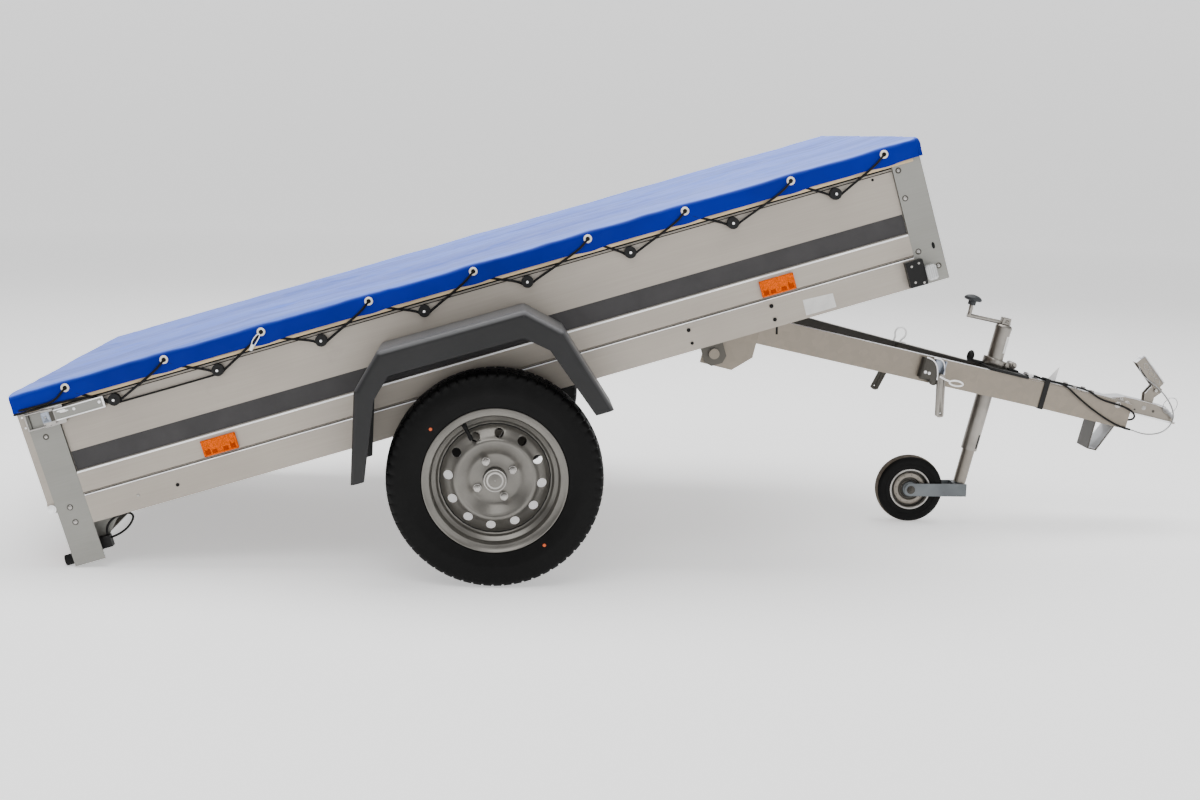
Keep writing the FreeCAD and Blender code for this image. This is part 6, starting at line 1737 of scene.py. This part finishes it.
    def clamp(self, name: str) -> Piece:
        """Fit the clamp's black foot over both beams, its rib, handle and egg-shaped knob."""
        foot = Bench.block("foot", (0.452, -0.106, 0.0004), (0.572, 0.106, 0.0083), 0.0014, 2)
        rib = Bench.block("rib", (0.53, -0.036, 0.0075), (0.56, 0.036, 0.014), 0.002, 2)
        Bench.cut(foot, Bench.bar("bore", 0.0243, (self.along, 0.0, -0.02), (self.along, 0.0, 0.03), 48))
        stem = Bench.block("stem", (0.415, -0.006, 0.004), (0.46, 0.006, 0.013), 0.002, 2)
        knob = Bench.ball("knob", 1.0, (0.4163, 0.0, 0.0206), (0.0112, 0.0112, 0.0176), 16)
        neck = Bench.bar("neck", 0.0062, (0.4163, 0.0, 0.003), (0.4163, 0.0, 0.013), 20, 0.001)
        return Bench.join(name, [foot, rib, stem, knob, neck])

    def collar(self, name: str) -> Piece:
        """Turn the clamp's collar, lean it forward and add its bolt."""
        section = [(-0.04, 0.0243), (-0.04, 0.033), (0.0082, 0.033), (0.012, 0.035), (0.0285, 0.035),
                   (0.0305, 0.0338), (0.0312, 0.0243)]
        made = Bench.turned("collar", section, 48)
        Bench.stand(made, (self.along + 0.001, 0.0, 0.0))
        for vertex in made.data.vertices:
            vertex.co.z -= (vertex.co.x - self.along) * 0.085
        Bench.smooth(made, 40.0)
        nose = Bench.block("nose", (0.519, -0.014, 0.0082), (0.549, 0.014, 0.0262), 0.002, 2)
        bolt = Bench.bar("bolt", 0.0064, (0.544, -0.03, 0.025), (0.544, 0.03, 0.025), 6, 0.001)
        boss = Bench.bar("boss", 0.01, (0.544, -0.024, 0.0245), (0.544, 0.024, 0.0245), 24, 0.0014)
        return Bench.join(name, [made, nose, bolt, boss])

    def build(self) -> None:
        """Build the jockey wheel's pieces and set them in place."""
        bar = self.yard.bar()
        wheel = bar @ Matrix.Translation((self.axle[0], 0.0, self.axle[1]))
        over = self.yard.hand_over
        over(self.tyre("jockey_tyre"), TYRE, "tyre_rubber", "jockey_wheel", wheel, ["jockey_wheel_tyre"])
        over(self.hub("jockey_hub"), PLATED, "bright_zinc", "jockey_wheel", wheel, ["jockey_wheel_hub"])
        over(self.spots("jockey_weld_marks"), SHADE, "bright_zinc", "jockey_wheel", wheel)
        over(self.nuts("jockey_axle_nuts"), SHADE, "bright_zinc", "jockey_fork", bar)
        label = self.wrap("blank_tube_label", -24.0, 62.0, 0.052, 0.103, 0.0241, 0.0003)
        over(label, WHITE, "bright_zinc", "drawbar", bar)
        slot = self.wrap("tube_slot", 44.0, 60.0, -0.245, -0.202, 0.024, 0.0004)
        over(slot, RUBBER, "black_plastic", "drawbar", bar)
        for name, make, finish, material_slot, nodes in (
                ("jockey_head", self.cap, TUBE, "bright_zinc", []),
                ("crank_knob", self.knob, CAP_GREY, "black_plastic", ["jockey_crank_grip"]),
                ("crank_pin", self.pin, TUBE, "bright_zinc", []),
                ("clamp_foot", self.clamp, PLASTIC, "black_plastic", ["jockey_clamp"]),
                ("clamp_collar", self.collar, TUBE, "bright_zinc", [])):
            over(make(name), finish, material_slot, "drawbar", bar, nodes)


@dataclass
class TipLocks:
    """The two tip locks: folded bracket, hanging lever, ring clip and bolt heads."""

    yard: Yard
    along: float = 0.263
    wall: float = 0.1585

    def bracket(self) -> Piece:
        """Fold the bracket: a seat on the beam, a cheek with a cut corner and the bend behind it."""
        outer = -self.wall - 0.022
        seat = Bench.block("seat", (0.232, -self.wall - 0.003, -0.07), (0.296, -self.wall + 0.0085, -0.006),
                           0.0012, 2)
        cheek_line = [(0.2385, -0.005), (0.256, -0.006), (0.2705, -0.016), (0.279, -0.033), (0.283, -0.048),
                      (0.285, -0.07), (0.274, -0.0745), (0.266, -0.064), (0.239, -0.064)]
        cheek = Bench.plate("cheek", [(s, outer, h) for s, h in cheek_line], (0.0, 0.0035, 0.0), 0.0008)
        bend = Bench.plate(
            "bend",
            [(0.23, -self.wall - 0.001, -0.064), (0.2318, -self.wall - 0.01, -0.064),
             (0.2352, outer + 0.003, -0.064), (0.24, outer, -0.064), (0.24, outer + 0.0035, -0.064),
             (0.2345, -self.wall - 0.008, -0.064)], (0.0, 0.0, 0.0585))
        return Bench.join("bracket", [seat, cheek, bend])

    def lip(self) -> Piece:
        """Run painted highlights along the cut edges of both cheeks."""
        outer = -self.wall - 0.0235
        rear = [(0.24, -0.0035), (0.256, -0.0045), (0.2712, -0.0148), (0.28, -0.0325), (0.2845, -0.048),
                (0.286, -0.06)]
        front = [(0.262, -0.001), (0.276, 0.001), (0.288, -0.002), (0.2965, -0.012), (0.301, -0.03),
                 (0.304, -0.047)]
        return Bench.join("lip", [Bench.pipe("rear", [(s, outer, h) for s, h in rear], 0.0021),
                                  Bench.pipe("front", [(s, outer + 0.004, h) for s, h in front], 0.0021)])

    def front_cheek(self) -> Piece:
        """Curve the bluish front cheek round the pin."""
        line = [(0.27, -0.17), (0.282, -0.164), (0.293, -0.1665), (0.3, -0.175), (0.3015, -0.181),
                (0.299, -0.181), (0.297, -0.1755), (0.2915, -0.169), (0.282, -0.1668), (0.2715, -0.1725)]
        made = Bench.plate("front_cheek", [(s, y, -0.052) for s, y in line], (0.0, 0.0, 0.05))
        Bench.smooth(made, 50.0)
        return made

    def lever(self) -> Piece:
        """Hang the lever: a flat bar with a rounded foot, a rolled rear edge and a small hole."""
        outline = []
        for turn in range(0, 181, 20):
            angle = math.radians(turn)
            outline.append((-0.0108 * math.cos(angle), -0.11 - 0.005 * math.sin(angle)))
        outline = [(-0.0108, 0.004), (-0.0108, -0.11)] + outline[1:-1] + [
            (0.0108, -0.11), (0.0108, 0.004), (0.006, 0.01), (-0.006, 0.01)]
        bar = Bench.plate("bar", [(s, 0.0, h) for s, h in outline], (0.0, 0.0075, 0.0), 0.0014)
        Bench.cut(bar, Bench.bar("hole", 0.0022, (0.001, -0.02, -0.103), (0.001, 0.02, -0.103), 14))
        roll = Bench.bar("roll", 0.0042, (-0.01, 0.005, 0.002), (-0.01, 0.005, -0.11), 16, 0.001)
        rib = Bench.bar("rib", 0.003, (0.0065, 0.0008, -0.006), (0.0065, 0.0008, -0.106), 12, 0.0006, 0.0018)
        made = Bench.join("lever", [bar, roll, rib])
        made.data.transform(Matrix.Translation((0.2975, -self.wall - 0.0265, -0.051)) @ Matrix.Rotation(
            -BAR_SLOPE, 4, "Y"))
        return made

    def cam(self) -> Piece:
        """Make the dark cam behind the lever and the pin it turns on."""
        cam = Bench.bar("cam", 0.0125, (0.279, -self.wall - 0.002, -0.066),
                        (0.279, -self.wall - 0.018, -0.066), 28, 0.002)
        pin = Bench.bar("pin", 0.006, (0.234, -self.wall - 0.013, -0.045),
                        (0.305, -self.wall - 0.013, -0.045), 20, 0.0012)
        neck = Bench.block("neck", (0.28, -self.wall - 0.02, -0.06), (0.304, -self.wall - 0.006, -0.04),
                           0.003, 2)
        return Bench.join("cam", [cam, pin, neck])

    def heads(self) -> Piece:
        """Set the two bolt heads on the cheek."""
        return Bench.join("heads",
                          [Bench.ball("head", 0.0046, (s, -self.wall - 0.0226, h), DOMED, 8)
                           for s, h in ((0.247, -0.0458), (0.2585, -0.0466))])

    def clip(self, name: str) -> Piece:
        """Bend the flat oval ring that hangs ahead of the near lever."""
        y = -self.wall - 0.033
        stem = Bench.pipe("stem",
                          [(0.29, y + 0.004, -0.048), (0.303, y, -0.052), (0.314, y, -0.0535),
                           (0.322, y, -0.0545)], 0.0027)
        ring = []
        for index in range(12):
            turn = math.radians(30.0 * index)
            ring.append((0.34 + 0.0205 * math.cos(turn), y,
                         -0.0555 + 0.0075 * math.sin(turn) + 0.0015 * math.cos(turn)))
        return Bench.join(name, [stem, Bench.pipe("ring", ring, 0.0025, True)])

    def upright_ring(self, name: str) -> Piece:
        """Bend the open ring that stands above the far beam."""
        points = []
        for turn in range(-52, 236, 18):
            angle = math.radians(turn)
            points.append((0.235 + 0.0172 * math.cos(angle), 0.162, 0.026 + 0.018 * math.sin(angle)))
        points = [(0.24, 0.164, -0.006),
                  (0.241, 0.1625, 0.004)] + points + [(0.221, 0.1625, 0.006), (0.22, 0.164, -0.004)]
        return Bench.pipe(name, points, 0.0031)

    def build(self) -> None:
        """Build the near lock and turn a copy of it round for the far beam."""
        bar = self.yard.bar()
        turned = (Matrix.Translation((self.along, 0.0, 0.0)) @ Matrix.Rotation(math.pi, 4, "Z")
                  @ Matrix.Translation((-self.along, 0.0, 0.0)))
        # The lip and the bolt heads wear the glowing white finish: painted highlights.
        parts = ((self.bracket(), "lock_bracket", SHADE), (self.front_cheek(), "lock_front_cheek", BLUISH),
                 (self.lip(), "lock_lip_highlight", PAINTED_HIGHLIGHT), (self.lever(), "lock_lever", TUBE),
                 (self.cam(), "lock_cam", SHADE), (self.heads(), "lock_heads", PAINTED_HIGHLIGHT))
        for form, label, finish in parts:
            for name, move in (("right", Matrix.Identity(4)), ("left", turned)):
                made = Bench.copy(form, f"{label}_{name}", move)
                # The far lever wears the shaded finish instead of its own: painted shade.
                dress_with = SHADE if label == "lock_lever" and name == "left" else finish
                self.yard.hand_over(made, dress_with, "bright_zinc", "drawbar", bar,
                                    ["tip_locks"] if label == "lock_bracket" else [])
            Bench.drop(form)
        # The clip and the upright ring wear the glowing white finish: painted highlights.
        self.yard.hand_over(self.clip("lock_clip_right"), PAINTED_HIGHLIGHT, "bright_zinc", "drawbar", bar)
        self.yard.hand_over(self.upright_ring("lock_ring_left"), PAINTED_HIGHLIGHT, "bright_zinc", "drawbar", bar)


@dataclass
class NoseTrim:
    """What the coupling, its handle and the beams' ends show: edges, bolts, holes, cells, studs and tape."""

    yard: Yard
    grip: Flat = (0.998, 0.071)
    lean: Flat = (-0.783, 0.6225)

    def handle(self) -> tuple[Vector, Vector, Vector]:
        """Give where the handle starts, the way it runs and the way its back faces."""
        return (Vector((self.grip[0], 0.0, self.grip[1])), Vector((self.lean[0], 0.0, self.lean[1])),
                Vector((self.lean[1], 0.0, -self.lean[0])))

    def flange(self, side: float) -> list[Piece]:
        """Run painted highlights along the rolled edges of the coupling's foot and crown."""
        foot = [(0.875, side * 0.0455, -0.0245), (0.94, side * 0.0455, -0.0245),
                (1.03, side * 0.0455, -0.0245), (1.052, side * 0.042, -0.0245)]
        crown = [(0.905, side * 0.036, 0.014), (0.95, side * 0.0366, 0.0158),
                 (1.005, side * 0.0366, 0.0158), (1.032, side * 0.035, 0.012)]
        return [Bench.pipe("foot", foot, 0.0022, order=2), Bench.pipe("crown", crown, 0.0012, order=2)]

    def bolts(self, name: str) -> Piece:
        """Set the coupling's bolts, its pressed bumps and the pin of the handle."""
        pieces = []
        for side in (-1.0, 1.0):
            for s, h, radius in ((0.873, -0.011, 0.0072), (0.9048, -0.001, 0.006), (0.9591, -0.0016, 0.005)):
                low, high, seat = (0.0535, 0.055, 0.0548) if s < 0.9 else (0.0378, 0.0392, 0.039)
                pieces.append(Bench.bar("washer", radius * 1.35, (s, side * low, h), (s, side * high, h),
                                        24, 0.0004))
                pieces.append(Bench.ball("head", radius, (s, side * seat, h), (1.0, 0.42, 1.0), 8))
            pieces.append(Bench.bar("pin", 0.0052, (0.988, side * 0.017, 0.056),
                                    (0.988, side * 0.0215, 0.056), 20, 0.001))
        return Bench.join(name, pieces)

    def edges(self, name: str) -> Piece:
        """Lay painted highlights on the coupling's rolled edges and on the handle's broad back."""
        base, ahead, above = self.handle()
        back = []
        for run, up in ((0.0, 0.0158), (0.1, 0.0158), (0.107, 0.012), (0.108, 0.002), (0.1095, 0.003),
                        (0.109, 0.014), (0.101, 0.018), (-0.001, 0.018)):
            spot = base + ahead * run + above * up
            back.append((spot.x, -0.0172, spot.z))
        return Bench.join(
            name, self.flange(-1.0) + self.flange(1.0) + [Bench.plate("back", back, (0.0, 0.0344, 0.0))])

    def holes(self, name: str) -> Piece:
        """Set the dark holes into the coupling's cheeks."""
        pieces = []
        for side in (-1.0, 1.0):
            for s, h, radius in ((0.9897, -0.0051, 0.0042), (0.933, -0.013, 0.003)):
                pieces.append(Bench.bar("hole", radius, (s, side * 0.0372, h), (s, side * 0.0386, h), 18))
        return Bench.join(name, pieces)

    def cells(self, name: str) -> Piece:
        """Press the bright rims of the three rounded cells into the handle's sides."""
        pieces = []
        base, ahead, above = self.handle()
        for side in (-1.0, 1.0):
            for run, wide in ((0.02, 0.0105), (0.048, 0.0115), (0.076, 0.011)):
                middle = base + ahead * run + above * 0.001
                ring = []
                for index in range(8):
                    turn = math.radians(45.0 * index + 22.5)
                    spot = middle + ahead * (wide * math.cos(turn)) + above * (0.0075 * math.sin(turn))
                    ring.append((spot.x, side * 0.0174, spot.z))
                pieces.append(Bench.pipe("cell", ring, 0.0011, True))
        return Bench.join(name, pieces)

    def studs(self, name: str) -> Piece:
        """Set the small bolts that show under the beams."""
        pieces = []
        for s, y in ((0.42, 0.09), (0.575, 0.06), (0.689, 0.045), (0.882, 0.033)):
            for side in (-1.0, 1.0):
                pieces.append(Bench.bar("nut", 0.0058, (s, side * y, -0.0695), (s, side * y, -0.0742), 6,
                                        0.0006))
                pieces.append(Bench.bar("thread", 0.0032, (s, side * y, -0.0738), (s, side * y, -0.0775),
                                        14, 0.0005))
        return Bench.join(name, pieces)

    def marks(self, name: str) -> Piece:
        """Set the small dark hole into each beam's outer face."""
        return Bench.join(
            name,
            [Bench.ball("hole", 1.0, (0.3087, side * 0.145, -0.0225), (0.0022, 0.0006, 0.003), 8)
             for side in (-1.0, 1.0)])

    def wire_ring(self, name: str) -> Piece:
        """Bend the thin loose ring that hangs at the coupling's nose."""
        points = []
        for index in range(14):
            turn = 2 * math.pi * index / 14
            points.append((1.0335 + 0.0185 * math.cos(turn) + 0.004 * math.sin(turn),
                           -0.042 - 0.005 * math.cos(turn), 0.024 + 0.025 * math.sin(turn)))
        return Bench.pipe(name, points, 0.0009, True)

    def strap_wraps(self, name: str) -> Piece:
        """Wrap the shiny tape bands round the cables where they leave the plate."""
        return Bench.join(
            name,
            [Bench.bar("band", 0.0042, (s - 0.007, y, h - 0.0012), (s + 0.007, y, h + 0.0012), 16, 0.0006)
             for s, y, h in ((0.59, -0.049, 0.0112), (0.59, -0.0612, 0.011))])

    def build(self) -> None:
        """Build the nose's trim."""
        bar = self.yard.bar()
        for name, make, finish, slot in (("coupling_fixings", self.bolts, PLATED, "bright_zinc"),
                                         ("coupling_edges", self.edges, PAINTED_HIGHLIGHT, "bright_zinc"),
                                         ("coupling_holes", self.holes, SHADE, "bright_zinc"),
                                         ("handle_cells", self.cells, PLATED, "bright_zinc"),
                                         ("beam_studs", self.studs, SHADE, "bright_zinc"),
                                         ("beam_holes", self.marks, RUBBER, "black_plastic"),
                                         ("nose_ring", self.wire_ring, STEEL, "bright_zinc"),
                                         ("cable_bands", self.strap_wraps, WHITE, "bright_zinc")):
            self.yard.hand_over(make(name), finish, slot, "drawbar", bar)


@dataclass
class Studio:
    """The pale floor that curves up all round, the soft lights and the camera at the photograph's angle."""

    axle_x: float
    reach: float = 15.0
    rise: float = 3.4
    eye: Spot = (-0.002, -4.995, 1.1265)
    sensor: float = 36.0
    focal_pixels: float = 1713.4
    photo_pixels: float = 1200.0

    def floor(self) -> None:
        """Lay a round pale floor whose rim curves up."""
        Bench.clear()
        bpy.ops.mesh.primitive_circle_add(vertices=160, radius=self.reach, fill_type="NGON",
                                          location=(0.0, 0.0, -0.0004))
        ground = Bench.named("studio_floor")
        Bench.pick(ground)
        bpy.ops.object.mode_set(mode="EDIT")
        bpy.ops.mesh.select_all(action="SELECT")
        bpy.ops.mesh.extrude_region_move()
        lean, low = 1.0, 0.0
        for step in range(1, 11):
            turn = math.radians(9.0 * step)
            wide = (self.reach + self.rise * math.sin(turn)) / self.reach
            high = self.rise * (1.0 - math.cos(turn))
            bpy.ops.transform.resize(value=(wide / lean, wide / lean, 1.0))
            bpy.ops.transform.translate(value=(0.0, 0.0, high - low))
            lean, low = wide, high
            if step < 10:
                bpy.ops.mesh.extrude_region_move()
        bpy.ops.mesh.delete(type="ONLY_FACE")
        bpy.ops.object.mode_set(mode="OBJECT")
        paper = bpy.data.materials.new("studio_paper")
        paper.use_nodes = True
        shader = paper.node_tree.nodes["Principled BSDF"]
        shader.inputs["Base Color"].default_value = (0.9, 0.9, 0.9, 1.0)
        shader.inputs["Roughness"].default_value = 0.9
        shader.inputs["Emission Color"].default_value = (1.0, 1.0, 1.0, 1.0)
        shader.inputs["Emission Strength"].default_value = 0.6
        ground.data.materials.append(paper)
        Bench.smooth(ground, 60.0)

    def light(self, name: str, place: Spot, aim: Spot, size: Flat, power: float) -> None:
        """Hang a soft box that faces a point."""
        lamp = bpy.data.lights.new(name, "AREA")
        lamp.shape = "RECTANGLE"
        lamp.size, lamp.size_y = size
        lamp.energy = power
        box = bpy.data.objects.new(name, lamp)
        box.location = place
        box.rotation_euler = (Vector(aim) - Vector(place)).to_track_quat("-Z", "Y").to_euler()
        bpy.context.scene.collection.objects.link(box)

    @staticmethod
    def band(tree: bpy.types.NodeTree, *stops: tuple[float, Spot]) -> bpy.types.Node:
        """Add a ramp between two colours at their places."""
        made = tree.nodes.new("ShaderNodeValToRGB")
        for element, (place, colour) in zip(made.color_ramp.elements, stops):
            element.position = place
            element.color = (*colour, 1.0)
        return made

    def world(self) -> None:
        """Fill the room with pale light that is bright above and dimmer towards one low side."""
        sky = bpy.data.worlds.new("studio_sky")
        sky.use_nodes = True
        tree = sky.node_tree
        ground = tree.nodes["Background"]
        coords = tree.nodes.new("ShaderNodeTexCoord")
        toward = tree.nodes.new("ShaderNodeVectorMath")
        toward.operation = "DOT_PRODUCT"
        toward.inputs[1].default_value = (-0.87, -0.49, 0.0)
        tree.links.new(coords.outputs["Generated"], toward.inputs[0])
        shade = self.band(tree, (0.93, EVEN), (0.975, (0.06, 0.06, 0.065)))
        tree.links.new(toward.outputs["Value"], shade.inputs["Fac"])
        height = tree.nodes.new("ShaderNodeSeparateXYZ")
        tree.links.new(coords.outputs["Generated"], height.inputs["Vector"])
        lift = self.band(tree, (0.12, (0.45, 0.45, 0.46)), (0.6, EVEN))
        tree.links.new(height.outputs["Z"], lift.inputs["Fac"])
        both = tree.nodes.new("ShaderNodeMix")
        both.data_type = "RGBA"
        both.blend_type = "MULTIPLY"
        both.inputs[0].default_value = 1.0
        tree.links.new(shade.outputs["Color"], both.inputs[6])
        tree.links.new(lift.outputs["Color"], both.inputs[7])
        tree.links.new(both.outputs[2], ground.inputs["Color"])
        ground.inputs["Strength"].default_value = 0.58
        bpy.context.scene.world = sky

    def camera(self) -> None:
        """Set the camera where the photograph was taken from."""
        yaw, pitch, roll = math.radians(3.535), math.radians(8.78), math.radians(1.357)
        ahead = Vector((math.sin(yaw) * math.cos(pitch), math.cos(yaw) * math.cos(pitch), -math.sin(pitch)))
        right = Vector((math.cos(yaw), -math.sin(yaw), 0.0))
        up = right.cross(ahead)
        across = right * math.cos(roll) + up * math.sin(roll)
        above = up * math.cos(roll) - right * math.sin(roll)
        turn = Matrix((across, above, -ahead)).transposed().to_4x4()
        lens = bpy.data.cameras.new("photo_camera")
        lens.sensor_width = self.sensor
        lens.lens = self.focal_pixels / self.photo_pixels * self.sensor
        lens.clip_end = 200.0
        eye = bpy.data.objects.new("photo_camera", lens)
        eye.matrix_world = Matrix.Translation((self.axle_x + self.eye[0], *self.eye[1:])) @ turn
        bpy.context.scene.collection.objects.link(eye)
        bpy.context.scene.camera = eye

    def build(self) -> None:
        """Set up the whole studio."""
        self.floor()
        self.world()
        self.light("key_box", (-1.5, -4.0, 5.0), (0.0, 0.0, 0.3), (4.5, 2.5), 120.0)
        self.light("floor_box", (3.4, -8.5, 3.0), (3.4, -8.5, 0.0), (4.0, 4.0), 110.0)
        self.light("fill_box", (3.5, -4.5, 2.0), (0.2, 0.0, 0.4), (3.0, 2.0), 25.0)
        self.light("top_box", (0.0, 0.6, 5.0), (0.0, 0.0, 0.5), (6.0, 3.5), 300.0)
        self.light("rim_box", (0.5, 5.5, 3.8), (0.0, 0.0, 0.6), (5.0, 2.0), 90.0)
        self.camera()


def main() -> None:
    """Load the frame, dress it and add every sub-assembly."""
    logging.basicConfig(level=logging.INFO, format="%(name)s: %(message)s")
    random.seed(17)
    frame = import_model()
    low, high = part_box("wheel_tyre_right")
    yard = Yard((low.x + high.x) / 2)
    Studio(yard.axle_x).build()
    CadFinishes(frame["nodes"]).dress(frame["record"]["subparts"])
    Wheel(yard).build()
    Cover(yard).build()
    BodyTrim(yard).build()
    BarTrim(yard).build()
    Cords(yard).build()
    RearTrim(yard).build()
    Jockey(yard).build()
    TipLocks(yard).build()
    NoseTrim(yard).build()
    log.info("%d pieces placed", yard.placed)


if __name__ == "__main__":
    main()
